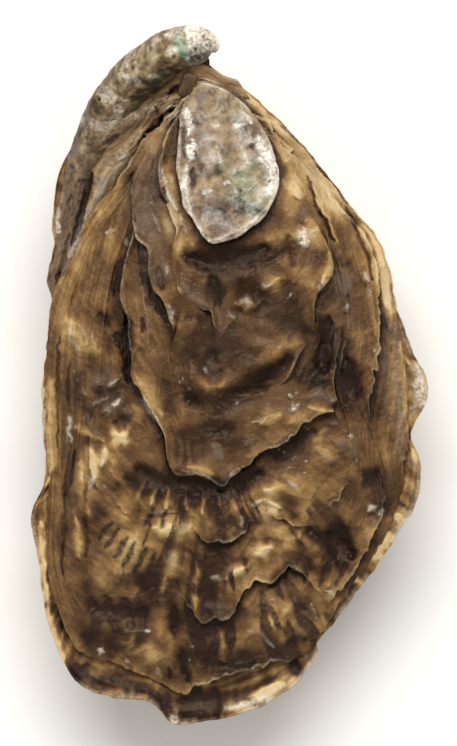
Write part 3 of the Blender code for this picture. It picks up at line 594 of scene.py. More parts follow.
    ("grey", [(-16.8, -41.4), (-14.2, -41.0)], 0.4, 0.7, 0.2),
    ("pale_wear_and_glint", [(-13.6, -41.0), (-13.1, -41.2)], 0.35, 1.2, 0.2),
    ("pale_wear_and_glint", [(-20.8, -44.4), (-20.3, -44.6)], 0.42, 1.8, 0.3),
    ("purple_fold_and_shade", [(-18.9, -44.8), (-18.7, -45.6)], 0.58, 0.8, -0.04),
    ("pale_wear_and_glint", [(-16.7, -46.0), (-16.2, -46.3)], 0.34, 0.65, 0.1),
    ("purple_fold_and_shade", [(-17.2, -45.6), (-16.8, -46.0)], 0.43, 0.7, -0.04),
    ("purple_fold_and_shade", [(-14.4, -42.2), (-13.6, -42.8)], 0.87, 0.5, -0.08),
    ("tone", [(-18.0, -43.2), (-14.8, -44.2)], 1.0, 0.10, 0.2),
    ("tone", [(-10.8, -37.0), (-11.6, -41.0), (-12.6, -46.0)], 2.2, 0.34, 0.3),
    ("tone", [(-8.6, -37.4), (-8.8, -42.0)], 0.8, -0.36, -0.2),
    ("purple_fold_and_shade", [(-6.8, -38.0), (-5.2, -42.6), (-4.6, -44.6)], 0.75, 1.5, -0.2),
    ("purple_fold_and_shade", [(-2.6, -39.8), (-2.6, -43.4), (-2.9, -46.8)], 0.85, 1.8, -0.25),
    ("purple_fold_and_shade", [(-0.1, -39.6), (0.1, -43.4)], 0.65, 1.5, -0.16),
    ("tone", [(-7.6, -44.0), (-6.8, -49.6)], 0.8, -0.50, -0.3),
    ("tone", [(-9.8, -46.8), (-9.6, -48.6)], 0.35, -0.50, -0.1),
    ("pale_wear_and_glint", [(-11.6, -47.2), (-11.2, -48.8)], 0.34, 0.36, 0.1),
    ("tone", [(-1.4, -42.0), (-0.8, -46.0)], 0.6, 0.25, 0.3),
    ("tone", [(3.2, -37.6), (7.4, -40.0)], 2.6, 0.25, 0.7),
    ("tone", [(8.6, -38.6), (10.4, -36.6)], 1.0, 0.30, 0.4),
    ("pale_wear_and_glint", [(3.0, -41.2), (5.4, -41.7), (7.3, -43.7)], 0.34, 0.32, 0.1),
    ("pale_wear_and_glint", [(6.5, -36.3), (6.9, -35.9)], 0.34, 0.65, 0.1),
    ("tone", [(1.6, -44.6), (5.4, -45.4)], 1.2, -0.15, 0.0),
    ("grey", [(10.4, -40.6), (12.6, -40.4)], 1.5, 0.35, 0.3),
    ("purple_fold_and_shade", [(11.6, -37.2), (12.2, -38.0)], 0.65, 0.8, -0.12),
    ("pale_wear_and_glint", [(13.2, -37.0), (14.0, -39.2)], 0.34, 0.5, 0.1),
    ("purple_fold_and_shade", [(10.2, -33.8), (11.0, -36.6)], 0.72, 0.6, -0.16),
    ("tone", [(9.6, -43.4), (12.4, -42.6)], 0.9, -0.35, -0.3),
    # Right flank: grey blocks, a bluish knob, blisters with painted glints, hollows darkened as painted
    # shade, and the cream rim.
    ("grey", [(18.2, 16.4), (18.6, 12.6)], 1.3, 1.4, 0.3),
    ("pale_wear_and_glint", [(21.8, 16.2), (22.6, 14.8)], 0.4, 0.6, 0.3),
    ("pale_wear_and_glint", [(22.2, 13.6), (22.8, 12.4)], 0.35, 0.6, 0.2),
    ("purple_fold_and_shade", [(19.0, 12.6), (19.2, 12.2)], 0.65, 0.9, -0.08),
    ("pale_wear_and_glint", [(19.0, 10.9), (19.1, 10.3)], 0.47, 0.65, 0.5),
    ("grey", [(19.0, 9.2), (19.2, 7.2)], 0.6, 0.7, 0.3),
    ("tone", [(15.0, 12.6), (15.6, 10.8)], 0.8, 0.05, 0.0),
    ("tone", [(15.8, 8.8), (15.4, 4.6)], 1.1, -0.60, -0.5),
    ("purple_fold_and_shade", [(17.6, 0.4), (18.6, -4.2)], 1.3, 1.0, -0.36),
    ("tone", [(18.8, 2.4), (20.6, -3.6)], 1.2, -0.35, -0.4),
    ("grey", [(21.2, 15.8), (22.4, 13.8)], 0.5, 0.6, 0.4),
    ("tone", [(22.6, 12.2), (23.4, 6.2)], 0.8, 0.20, 0.3),
    ("purple_fold_and_shade", [(22.6, -5.4), (22.6, -7.8)], 0.65, 0.6, -0.12),
    ("tone", [(25.4, 7.0), (25.6, -1.0)], 0.9, -0.05, -0.2),
    ("tone", [(23.4, 22.4), (24.8, 16.6), (25.6, 11.0)], 1.0, 0.85, 0.2),
    ("pale_wear_and_glint", [(24.6, 19.6), (25.6, 14.4), (26.2, 10.6)], 0.68, 0.29, 0.0),
    ("tone", [(27.4, 5.0), (28.6, -3.0), (28.4, -9.0)], 0.7, 0.30, 0.2),
    ("grey", [(16.2, -8.0), (17.4, -8.0)], 0.6, 0.9, 0.4),
    ("pale_wear_and_glint", [(19.0, -9.8), (19.5, -9.7)], 0.3, 1.2, 0.4),
    ("grey", [(16.8, -10.6), (18.6, -11.2), (20.0, -13.0)], 1.0, 0.7, 0.5),
    ("pale_wear_and_glint", [(20.0, -13.4), (20.3, -13.8)], 0.34, 0.5, 0.2),
    ("tone", [(17.4, -12.8), (18.2, -13.4)], 0.8, -0.15, -0.3),
    ("grey", [(14.0, -12.4), (16.6, -14.4)], 0.8, 0.45, 0.4),
    ("purple_fold_and_shade", [(19.4, -17.2), (20.4, -20.2)], 1.59, 0.8, -0.2),
    ("tone", [(24.0, -15.6), (22.0, -18.0)], 1.6, -0.30, -0.3),
    ("tone", [(17.8, -21.4), (18.6, -24.0)], 0.9, 0.20, 0.3),
    ("pale_wear_and_glint", [(22.6, -21.8), (23.4, -21.2)], 0.6, 0.8, 0.3),
    ("pale_wear_and_glint", [(24.2, -22.6), (24.6, -21.8)], 0.5, 0.6, 0.2),
    ("grey", [(22.4, -23.4), (23.6, -24.2)], 0.8, 0.7, 0.2),
    ("tone", [(24.8, -12.6), (25.6, -18.6)], 1.0, 0.1, 0.1),
    ("tone", [(12.4, 31.4), (14.4, 26.4), (16.6, 21.4)], 0.3, -0.50, -0.2),
    ("tone", [(13.4, 30.0), (15.4, 25.6), (17.4, 20.8)], 0.4, 0.30, 0.15),
    ("tone", [(18.6, 27.0), (21.6, 20.4), (23.2, 15.0)], 0.3, -0.45, -0.2),
    ("tone", [(14.6, 32.8), (19.6, 25.4)], 1.0, 0.22, 0.1),
    ("tone", [(12.0, 28.8), (10.4, 28.4)], 1.0, 0.12, 0.4),
    ("pale_wear_and_glint", [(9.2, 34.0), (9.5, 33.7)], 0.34, 0.65, 0.1),
    ("pale_wear_and_glint", [(8.4, 31.0), (9.2, 29.2)], 0.34, 0.36, 0.1),
    # Left of the crown: the second lip, and its slit darkened as painted shade.
    ("pale_wear_and_glint", [(-10.7, 32.2), (-10.2, 29.8), (-9.4, 27.8), (-8.2, 25.8)], 0.54, 0.54, 0.3),
    ("tone", [(-10.6, 29.2), (-9.8, 27.2)], 0.35, -0.75, -0.5),
    ("pale_wear_and_glint", [(-7.6, 25.0), (-6.7, 22.2)], 0.41, 0.4, 0.2),
    ("pale_wear_and_glint", [(-12.2, 25.4), (-10.8, 22.4)], 0.34, 0.32, 0.1),
    ("pale_wear_and_glint", [(-12.7, 27.2), (-12.4, 26.9)], 0.34, 0.36, 0.1),
    ("tone", [(-8.8, 40.6), (-9.8, 36.6), (-10.2, 33.4)], 0.5, -0.15, -0.3),
    ("tone", [(-11.4, 36.8), (-13.6, 31.4), (-15.4, 27.0)], 0.8, 0.05, 0.2),
    ("tone", [(-15.4, 32.4), (-15.8, 28.2), (-15.2, 24.2)], 0.25, -0.55, -0.2),
]

CROWN_STROKES = [
    ("pale_wear_and_glint", [(0.8, 39.6), (3.0, 37.2)], 1.1, 0.40, 0.0),
    ("tone", [(-0.6, 27.0), (4.0, 26.0)], 1.6, -0.32, 0.0),
    ("green", [(1.0, 33.6), (4.6, 30.4)], 1.8, 0.12, 0.0),
    ("tone", [(1.6, 22.6), (5.0, 25.0)], 1.0, 0.25, 0.0),
    ("tone", [(-6.6, 31.4), (-6.4, 26.6)], 1.0, 0.25, 0.0),
    ("grey", [(-7.2, 41.0), (-7.4, 33.0)], 0.5, 0.5, 0.0),
    ("pale_wear_and_glint", [(4.6, 37.6), (5.9, 35.2), (6.9, 32.6), (6.9, 30.4), (6.2, 28.4)], 0.8, 1.6, 0.3),
    ("pale_wear_and_glint", [(5.8, 26.4), (4.0, 24.4), (1.6, 22.8), (-1.4, 21.5), (-3.2, 21.4)], 0.35, 0.6, 0.2),
    ("pale_wear_and_glint", [(-7.0, 42.2), (-6.3, 40.2), (-6.4, 37.8)], 0.6, 1.2, 0.35),
    ("pale_wear_and_glint", [(-5.9, 36.8), (-6.2, 34.2)], 0.8, 1.7, 0.4),
    ("pale_wear_and_glint", [(-6.8, 33.0), (-6.9, 29.0), (-6.0, 26.0)], 0.6, 0.8, 0.2),
    ("tone", [(-5.6, 32.6), (-5.8, 28.4)], 0.45, -0.4, -0.2),
    ("tone", [(-7.5, 41.0), (-7.4, 37.0), (-7.3, 34.4)], 0.35, -0.45, -0.4),
    ("pale_wear_and_glint", [(-6.7, 30.4), (-6.3, 28.2)], 0.4, 1.1, 0.3),
    ("pale_wear_and_glint", [(-6.6, 26.4), (-5.4, 24.2), (-4.0, 22.0)], 0.35, 0.7, 0.2),
    ("pale_wear_and_glint", [(-2.8, 39.8), (-2.0, 39.4)], 0.6, 0.5, 0.1),
    ("grey", [(-4.4, 38.4), (-3.4, 34.8)], 1.3, 0.85, 0.0),
    ("pale_wear_and_glint", [(-1.6, 35.6), (-1.6, 33.8), (-0.8, 33.6)], 0.35, 0.6, 0.1),
    ("pale_wear_and_glint", [(2.2, 41.6), (3.0, 40.6), (3.6, 39.8)], 0.5, 0.6, 0.1),
    ("pale_wear_and_glint", [(0.8, 39.8), (1.6, 39.3)], 0.4, 0.45, 0.1),
    ("tone", [(2.2, 38.8), (2.6, 38.4)], 0.7, -0.55, -0.2),
    ("tone", [(1.4, 41.4), (1.6, 40.8)], 0.5, -0.35, -0.1),
    ("tone", [(3.7, 36.6), (4.0, 36.0)], 0.6, -0.60, -0.2),
    ("pale_wear_and_glint", [(5.0, 34.6), (5.4, 33.8)], 0.7, 0.6, 0.0),
    ("pale_wear_and_glint", [(2.6, 34.8), (3.6, 33.6)], 0.6, 0.4, 0.0),
    ("tone", [(-4.6, 32.6), (-1.6, 32.0)], 1.3, -0.40, -0.1),
    ("tone", [(1.3, 32.2), (1.8, 31.6)], 0.8, -0.55, -0.15),
    ("pale_wear_and_glint", [(-0.6, 30.2), (0.2, 30.0)], 0.45, 0.8, 0.1),
    ("pale_wear_and_glint", [(-4.0, 28.4), (-2.6, 28.8)], 0.6, 0.8, 0.1),
    ("green", [(-1.0, 27.8), (3.8, 28.8)], 1.3, 0.28, 0.0),
    ("tone", [(-4.6, 43.0), (-6.6, 38.0), (-5.6, 30.0)], 1.1, -0.22, 0.0),
    ("pale_wear_and_glint", [(5.0, 30.3), (3.4, 29.2), (2.6, 28.4)], 0.13, 0.9, 0.15),
    ("tone", [(1.2, 27.9), (2.2, 27.5)], 0.3, -0.6, -0.1),
    ("tone", [(1.4, 29.4), (2.0, 29.0)], 0.4, -0.5, -0.1),
    ("pale_wear_and_glint", [(5.4, 29.4), (5.0, 27.6)], 0.8, 0.4, 0.0),
    ("tone", [(-5.2, 26.2), (-0.6, 25.4)], 0.9, -0.45, -0.1),
    ("tone", [(2.4, 26.0), (5.0, 25.8)], 0.8, -0.60, -0.1),
    ("tone", [(-3.0, 23.4), (0.6, 23.8)], 1.2, -0.30, 0.1),
    ("grey", [(-2.8, 24.4), (0.8, 23.4)], 1.2, 0.55, 0.0),
    ("grey", [(-4.6, 43.0), (-4.0, 45.2)], 0.9, 0.8, 0.1),
    ("tone", [(0.4, 43.6), (-1.0, 42.0)], 0.6, -0.35, 0.0),
    ("pale_wear_and_glint", [(-0.4, 43.4), (-1.0, 42.2)], 0.25, 0.5, 0.1),
]


LOWER_STROKES = [
    ("tone", [(19.6, 27.0), (23.4, 21.6), (25.8, 14.8), (26.6, 10.4)], 1.3, 0.75, 0.0),
    ("pale_wear_and_glint", [(24.8, 18.6), (26.2, 12.0)], 0.6, 0.35, 0.0),
    ("pale_wear_and_glint", [(30.2, 1.4), (31.2, -1.8), (30.8, -5.0)], 0.9, 2.2, 0.0),
    ("grey", [(29.8, 1.8), (30.2, -5.4)], 0.7, 1.0, 0.0),
    ("tone", [(29.4, 2.0), (30.2, -6.0), (29.8, -14.0)], 0.8, 0.35, 0.0),
    ("tone", [(-29.4, 3.6), (-29.8, -0.4)], 0.9, 0.40, 0.0),
    ("tone", [(-24.0, -49.4), (-20.0, -50.4)], 1.5, -0.30, 0.0),
    ("tone", [(-7.6, -54.4), (-4.8, -54.8)], 1.2, -0.40, 0.0),
    ("tone", [(9.4, -50.2), (11.4, -48.6)], 1.0, 0.30, 0.0),
    ("tone", [(2.0, 45.6), (7.4, 40.6)], 1.5, 0.45, 0.0),
    ("tone", [(-26.6, -36.0), (-25.6, -41.6)], 1.5, -0.45, 0.0),
    ("tone", [(25.0, -26.4), (27.4, -25.0)], 1.2, 0.5, 0.0),
    ("tone", [(-21.0, -49.4), (-14.0, -50.6)], 1.6, -0.30, 0.0),
    ("tone", [(-8.0, -53.0), (-1.0, -51.6), (6.6, -49.4)], 1.5, -0.36, 0.0),
    ("tone", [(-29.8, 5.0), (-30.1, -10.0), (-29.8, -16.0)], 0.7, 0.80, 0.0),
    ("pale_wear_and_glint", [(-29.6, 3.0), (-30.0, -12.0)], 0.4, 0.45, 0.0),
    # Rim of the cupped valve: black rays and pale gold between them, chalky and grey ends.
    ("tone", [(-23.4, -47.2), (-24.8, -48.8)], 1.0, -0.80, 0.0),
    ("tone", [(-10.2, -52.4), (-9.8, -54.0)], 0.8, -0.70, 0.0),
    ("tone", [(-5.0, -51.4), (-4.6, -55.4)], 0.9, -0.80, 0.0),
    ("tone", [(-2.2, -51.0), (-1.8, -54.8)], 0.8, -0.70, 0.0),
    ("tone", [(10.4, -46.4), (11.4, -48.4)], 0.9, -0.80, 0.0),
    ("tone", [(-20.6, -50.4), (-12.8, -51.8)], 0.7, 0.55, 0.0),
    ("tone", [(3.4, -51.8), (8.6, -49.8)], 0.8, 0.45, 0.0),
    ("purple_fold_and_shade", [(-23.0, -46.8), (-24.4, -48.6)], 1.4, 2.2, -0.2),
    ("tone", [(-29.2, -38.0), (-28.2, -42.0), (-26.6, -45.6)], 0.8, 0.75, 0.1),
    ("tone", [(-21.0, -49.0), (-16.0, -50.6)], 1.0, 0.05, 0.2),
    ("tone", [(0.4, -53.8), (3.6, -53.4)], 0.9, 0.50, 0.0),
    ("tone", [(9.6, -50.4), (12.4, -47.8)], 0.8, 0.45, 0.0),
    ("tone", [(-30.3, -24.0), (-30.1, -32.0), (-29.0, -39.6)], 0.8, 0.60, 0.0),
    ("tone", [(28.8, -21.4), (25.6, -26.0), (22.0, -31.2)], 1.0, 0.30, 0.0),
    ("tone", [(29.6, -12.6), (29.8, -15.4)], 1.0, 0.40, 0.0),
    ("tone", [(-7.6, -54.0), (-5.0, -54.6)], 1.0, -0.30, 0.0),
    ("tone", [(-8.0, -50.6), (-5.0, -51.0)], 1.2, -0.30, 0.0),
    ("tone", [(4.6, -50.0), (7.6, -48.8)], 1.0, -0.34, 0.0),
    ("tone", [(-22.6, -49.0), (-13.0, -50.0)], 1.0, -0.20, 0.0),
    ("pale_wear_and_glint", [(1.6, -53.4), (6.4, -51.8), (9.4, -49.8)], 0.6, 0.50, 0.0),
    ("pale_wear_and_glint", [(-21.4, -51.0), (-14.0, -51.8)], 0.4, 0.40, 0.0),
    ("purple_fold_and_shade", [(-16.6, -49.4), (-16.4, -51.6)], 0.5, 1.2, -0.1),
    ("purple_fold_and_shade", [(-20.0, -48.8), (-20.4, -51.0)], 0.4, 1.0, -0.1),
    ("purple_fold_and_shade", [(-12.8, -50.4), (-12.8, -52.2)], 0.4, 1.1, -0.1),
    ("purple_fold_and_shade", [(1.0, -50.6), (1.4, -53.4)], 0.5, 1.0, -0.1),
    ("purple_fold_and_shade", [(-18.8, -48.0), (-18.6, -49.2)], 0.5, 0.5, -0.1),
    ("tone", [(-14.0, -50.6), (-11.0, -52.6)], 0.9, -0.30, 0.0),
    ("purple_fold_and_shade", [(-10.0, -51.6), (-9.8, -54.2)], 0.9, 1.2, -0.2),
    ("purple_fold_and_shade", [(-4.8, -51.0), (-4.6, -55.6)], 1.2, 2.0, -0.2),
    ("purple_fold_and_shade", [(-2.4, -50.8), (-2.0, -55.0)], 1.1, 1.8, -0.2),
    ("tone", [(-7.0, -52.6), (-6.8, -55.4)], 0.8, -0.35, 0.0),
    ("pale_wear_and_glint", [(-9.4, -55.2), (-8.2, -55.6)], 0.6, 1.4, 0.2),
    ("tone", [(0.0, -50.6), (5.0, -50.4), (9.0, -48.6)], 1.3, 0.08, 0.2),
    ("pale_wear_and_glint", [(-0.4, -53.6), (3.6, -53.4), (6.6, -52.0)], 0.7, 0.7, 0.1),
    ("tone", [(4.6, -52.2), (8.0, -50.4)], 0.9, 0.55, 0.1),
    ("purple_fold_and_shade", [(4.0, -53.2), (4.6, -53.0)], 0.35, 0.6, -0.1),
    ("pale_wear_and_glint", [(8.2, -50.6), (8.8, -50.4)], 0.35, 1.3, 0.2),
    ("purple_fold_and_shade", [(9.8, -46.0), (11.6, -48.6)], 1.1, 2.2, -0.6),
    ("pale_wear_and_glint", [(9.8, -49.2), (10.8, -49.6)], 0.4, 0.7, 0.0),
    ("grey", [(12.6, -46.8), (13.8, -44.6)], 0.8, 0.5, 0.1),
    ("tone", [(14.6, -41.4), (15.4, -40.6)], 0.5, -0.6, 0.0),
    ("tone", [(16.0, -40.0), (17.2, -38.2)], 0.6, -0.10, 0.0),
    ("purple_fold_and_shade", [(16.6, -37.6), (18.6, -36.4)], 0.5, 0.8, -0.1),
    ("grey", [(18.0, -38.2), (20.4, -34.6)], 0.7, 0.9, 0.0),
    ("tone", [(19.8, -32.8), (21.4, -33.6)], 0.6, 0.65, 0.0),
    ("purple_fold_and_shade", [(21.4, -31.0), (22.8, -32.0)], 0.5, 0.8, -0.1),
    ("tone", [(21.6, -28.2), (24.2, -29.0)], 0.8, 0.70, 0.0),
    ("purple_fold_and_shade", [(20.8, -29.6), (23.2, -30.6)], 0.5, 0.6, -0.1),
    ("tone", [(22.8, -26.0), (25.2, -27.6)], 0.9, 0.75, 0.1),
    ("purple_fold_and_shade", [(24.2, -23.8), (27.4, -25.6)], 0.65, 1.4, -0.2),
    ("tone", [(25.4, -22.4), (28.4, -23.8)], 0.6, 0.60, 0.0),
    ("pale_wear_and_glint", [(28.6, -23.0), (29.4, -22.4)], 0.7, 0.6, 0.0),
    ("purple_fold_and_shade", [(25.8, -20.2), (29.2, -21.8)], 0.5, 1.2, -0.2),
    ("tone", [(26.4, -17.6), (29.4, -18.4)], 0.8, 0.15, 0.0),
    ("grey", [(28.6, -14.0), (30.2, -15.4)], 0.8, 0.8, 0.0),
    ("grey", [(28.8, -9.6), (29.0, -12.0)], 0.4, 0.6, 0.0),
    ("pale_wear_and_glint", [(29.2, -6.6), (30.4, -4.4)], 0.7, 0.4, 0.0),
    ("purple_fold_and_shade", [(30.4, -3.8), (31.4, -4.0)], 0.4, 0.9, 0.0),
    ("pale_wear_and_glint", [(29.6, -1.8), (31.0, -1.6)], 0.7, 1.1, 0.2),
    ("grey", [(29.8, 1.4), (31.0, -1.0)], 0.9, 0.8, 0.1),
    ("grey", [(27.8, 7.0), (29.6, 3.0)], 0.6, 0.8, 0.1),
    ("tone", [(27.2, 6.0), (28.6, 0.0), (28.8, -8.0)], 0.7, 0.30, 0.0),
    ("purple_fold_and_shade", [(-28.6, -25.6), (-28.8, -27.0)], 0.8, 0.8, 0.3),
    ("purple_fold_and_shade", [(-30.6, -21.6), (-31.2, -23.0)], 0.6, 0.7, 0.2),
    ("purple_fold_and_shade", [(-27.2, -34.4), (-28.2, -35.8)], 0.8, 1.0, -0.2),
    ("purple_fold_and_shade", [(-28.6, -33.0), (-29.4, -33.4)], 0.5, 0.6, -0.1),
    ("purple_fold_and_shade", [(-29.2, -36.4), (-29.4, -37.8)], 0.4, 0.8, 0.0),
    ("pale_wear_and_glint", [(-29.9, -2.0), (-30.0, -16.0), (-30.4, -19.0)], 0.35, 0.5, 0.0),
]

HINGE_STROKES = [
    ("tone", [(-13.0, 43.4), (-16.0, 41.0)], 1.5, 0.50, 0.0),
    ("tone", [(-9.8, 40.4), (-11.4, 37.0)], 1.2, 0.35, 0.0),
    ("tone", [(2.0, 45.6), (6.0, 42.0)], 1.5, 0.35, 0.0),
    # Folds that run from the hinge down to the left, and the slits between them, darkened as painted
    # shade.
    ("grey", [(-11.0, 43.6), (-16.0, 40.6), (-20.0, 37.4)], 1.5, 0.7, 0.9),
    ("tone", [(-9.0, 45.2), (-14.0, 43.0), (-19.0, 40.6), (-22.4, 37.0)], 0.4, -0.40, -0.5),
    ("tone", [(-9.6, 44.0), (-14.0, 42.4)], 1.2, 0.30, 0.0),
    ("purple_fold_and_shade", [(-9.6, 44.9), (-7.6, 46.0)], 0.5, 1.2, -1.0),
    ("grey", [(-17.2, 39.6), (-15.4, 40.6)], 0.9, 0.5, 0.2),
    ("tone", [(-17.6, 38.0), (-20.6, 35.6)], 0.4, -0.60, -0.6),
    ("grey", [(-20.6, 37.4), (-23.4, 35.2), (-24.6, 32.0)], 0.9, 0.7, 0.7),
    ("pale_wear_and_glint", [(-22.6, 35.2), (-23.4, 34.4)], 0.5, 0.5, 0.2),
    ("tone", [(-21.6, 34.4), (-22.4, 32.4), (-24.6, 31.2)], 0.4, 0.30, 0.1),
    ("pale_wear_and_glint", [(-16.2, 35.0), (-20.4, 29.6), (-22.6, 25.0), (-25.0, 19.0), (-26.6, 14.6)], 0.8, 0.45, 0.1),
    ("purple_fold_and_shade", [(-22.2, 32.0), (-22.9, 29.0), (-23.9, 25.0), (-25.0, 20.6)], 0.55, 2.4, -1.1),
    ("tone", [(-22.2, 32.0), (-22.9, 29.0), (-23.9, 25.0), (-25.0, 20.6)], 0.7, -0.9, -0.2),
    ("tone", [(-24.2, 30.6), (-24.0, 27.6)], 0.5, 0.10, 0.4),
    ("tone", [(-14.0, 38.6), (-17.4, 34.4), (-21.2, 29.6), (-23.4, 24.4), (-25.4, 18.6)], 1.3,
     0.42, 0.5),
    ("grey", [(-15.0, 37.2), (-19.6, 32.4), (-22.4, 27.0), (-24.6, 21.0)], 1.3, 0.5, 0.2),
    ("purple_fold_and_shade", [(-13.2, 38.6), (-11.4, 39.6), (-10.8, 41.2)], 0.5, 1.5, -1.5),
    ("purple_fold_and_shade", [(-14.8, 36.6), (-13.6, 38.0)], 0.4, 1.1, -1.0),
    ("purple_fold_and_shade", [(-9.6, 42.0), (-8.4, 42.6)], 0.4, 1.4, -1.2),
    ("grey", [(-11.0, 41.4), (-10.0, 42.4), (-8.8, 43.4)], 0.45, 1.0, 0.8),
    ("pale_wear_and_glint", [(-10.6, 41.6), (-9.6, 42.8), (-8.2, 43.0)], 0.22, 0.7, 0.4),
    ("grey", [(-9.6, 44.4), (-11.2, 43.6)], 0.5, 0.9, 0.5),
    ("tone", [(-12.0, 43.0), (-11.4, 41.6)], 0.25, -0.7, -0.5),
    ("grey", [(-25.4, 33.0), (-26.2, 28.6), (-26.4, 24.0)], 0.9, 1.1, 0.4),
    ("grey", [(-26.6, 21.0), (-27.6, 16.6)], 0.9, 1.0, 0.3),
    ("pale_wear_and_glint", [(-27.4, 27.0), (-27.8, 24.4), (-27.4, 22.8)], 0.55, 1.6, 0.3),
    ("pale_wear_and_glint", [(-26.6, 28.8), (-27.0, 27.4)], 0.35, 0.6, 0.1),
    ("tone", [(-25.6, 28.6), (-25.0, 25.6)], 0.35, -0.6, -0.5),
    ("tone", [(-25.6, 22.4), (-26.8, 17.6), (-27.4, 14.0)], 0.3, -0.75, -0.5),
    ("tone", [(-24.8, 20.4), (-26.2, 17.6), (-26.9, 15.6)], 0.55, 0.30, 0.4),
    ("purple_fold_and_shade", [(-27.0, 16.0), (-27.4, 14.8)], 0.3, 1.1, -0.6),
    ("tone", [(-3.8, 48.8), (-6.0, 48.6)], 1.2, 0.10, 0.3),
    ("tone", [(-4.2, 47.2), (-2.0, 46.4), (-0.2, 45.0)], 0.28, 0.75, 0.5),
    ("tone", [(0.0, 46.4), (2.6, 45.0)], 1.2, -0.15, 0.3),
    ("purple_fold_and_shade", [(-4.6, 46.8), (-4.3, 46.0)], 0.3, 1.1, -0.5),
]

BEAK_STROKES = [
    # The knob's cream top, brightened further as a painted highlight.
    ("pale_wear_and_glint", [(-3.0, 53.4), (-4.8, 54.5), (-6.8, 54.8)], 1.2, 1.3, 0.2),
    ("pale_wear_and_glint", [(-5.9, 53.6), (-5.6, 52.0)], 0.5, 1.1, 0.2),
    ("grey", [(-4.8, 52.2), (-3.0, 52.0)], 1.0, 1.1, 0.1),
    # Painted shade under the knob.
    ("tone", [(-6.4, 50.6), (-4.2, 50.3), (-2.0, 50.8)], 1.1, -0.80, -0.2),
    ("purple_fold_and_shade", [(-4.4, 50.6), (-2.2, 51.0)], 0.7, 0.5, -0.1),
    ("tone", [(-24.6, 40.0), (-26.2, 34.6)], 1.3, -0.70, 0.0),
    ("purple_fold_and_shade", [(-24.8, 39.4), (-26.4, 35.0)], 0.9, 0.70, 0.0),
    # Painted shade under the knob.
    ("purple_fold_and_shade", [(-3.4, 50.2), (-1.6, 50.6)], 0.7, 0.60, 0.0),
    ("tone", [(-5.6, 50.2), (-1.4, 50.6)], 1.0, -0.60, 0.0),
    ("green", [(-8.4, 54.4), (-7.4, 52.6), (-6.6, 50.6)], 0.6, 5.0, -0.35),
    ("green", [(-8.6, 53.0), (-7.8, 52.2)], 0.8, 0.6, 0.0),
    ("pale_wear_and_glint", [(-10.2, 54.2), (-8.8, 54.4), (-8.0, 55.2)], 0.8, 0.75, 0.1),
    ("pale_wear_and_glint", [(-9.0, 52.0), (-8.2, 51.4)], 0.8, 0.5, 0.1),
    ("tone", [(-16.0, 47.6), (-9.6, 51.6)], 1.6, 0.16, 0.0),
    ("purple_fold_and_shade", [(-15.8, 49.0), (-15.3, 48.8)], 0.4, 0.9, -0.4),
    ("tone", [(-12.4, 48.8), (-11.2, 48.2)], 0.7, -0.20, -0.1),
    ("pale_wear_and_glint", [(-16.8, 47.6), (-14.4, 46.6)], 0.9, 0.30, 0.1),
    ("pale_wear_and_glint", [(-19.8, 46.0), (-18.6, 45.0)], 0.7, 0.35, 0.1),
    ("pale_wear_and_glint", [(-20.4, 44.4), (-17.4, 43.9)], 0.55, 0.40, 0.15),
    ("purple_fold_and_shade", [(-20.7, 44.2), (-20.5, 43.6)], 0.35, 1.1, -0.5),
    ("tone", [(-8.0, 48.6), (-12.0, 46.4), (-16.0, 43.4)], 0.9, -0.25, 0.0),
    ("tone", [(-21.4, 43.4), (-20.6, 41.6)], 0.9, -0.40, -0.2),
    ("grey", [(-22.6, 43.0), (-23.8, 40.0)], 0.9, 0.8, 0.0),
    ("grey", [(-24.6, 38.0), (-25.8, 34.0)], 1.2, 0.9, 0.0),
    ("tone", [(-22.4, 41.0), (-23.8, 38.4)], 0.3, -0.6, -0.2),
    ("tone", [(-26.0, 36.0), (-26.8, 32.0)], 0.5, -0.5, -0.1),
]

# The pale lime mark is partly worn chalky calcite and partly painted highlights: glints on lumps, knobs,
# bumps and blisters.
MARKS = ("tone", "grey", "purple_fold_and_shade", "pale_wear_and_glint", "green")
FINE_LIME = 0.36           # pale strokes narrower than this are fine flecks
FLECK_SHARE = 0.7          # share of their strength that fine flecks keep


def bounded(points, reach):
    """The box round the points, with room for the reach on every side."""
    xs, ys = zip(*points)
    return min(xs) - reach, max(xs) + reach, min(ys) - reach, max(ys) + reach


def paint(x, y, strokes, seed):
    """Height and marks of soft strokes at places (x, y). The weight of a stroke is a bell curve of
    the distance to its line, which thins towards both ends. Noise first pushes the places about,
    so that borders fray."""
    sway_x = x + 0.35 * rough(x, y, 3.2, 2, seed) + 0.26 * rough(x, y, 1.0, 3, seed + 2)
    sway_y = y + 0.35 * rough(x, y, 3.4, 2, seed + 4) + 0.26 * rough(x, y, 1.1, 3, seed + 6)
    height = 0 * x
    marks = {name: 0 * x for name in MARKS}
    for kind, points, half_width, strength, rise in strokes:
        west, east, south, north = bounded(points, 2.4 * half_width)
        near = (sway_x > west) & (sway_x < east) & (sway_y > south) & (sway_y < north)
        if not near.any():
            continue
        u, v = sway_x[near], sway_y[near]
        spans = [(a, b, math.dist(a, b)) for a, b in zip(points, points[1:])]
        total, passed = sum(span[2] for span in spans), 0.0
        nearest, place = np.full(u.shape, 1e9), 0 * u
        for (ax, ay), (bx, by), length in spans:
            dx, dy = (bx - ax) / length, (by - ay) / length
            t = np.clip((u - ax) * dx + (v - ay) * dy, 0, length)
            distance = (u - ax - t * dx) ** 2 + (v - ay - t * dy) ** 2
            place = np.where(distance < nearest, (passed + t) / total, place)
            nearest = np.minimum(nearest, distance)
            passed += length
        taper = 0.45 + 0.55 * np.sin(math.pi * np.clip(place, 0, 1)) ** 0.7
        weight = np.exp(-nearest / (half_width * taper) ** 2)
        height[near] += rise * weight
        fleck = kind == "pale_wear_and_glint" and half_width < FINE_LIME
        marks[kind][near] += strength * weight * (FLECK_SHARE if fleck else 1)
    return height, marks


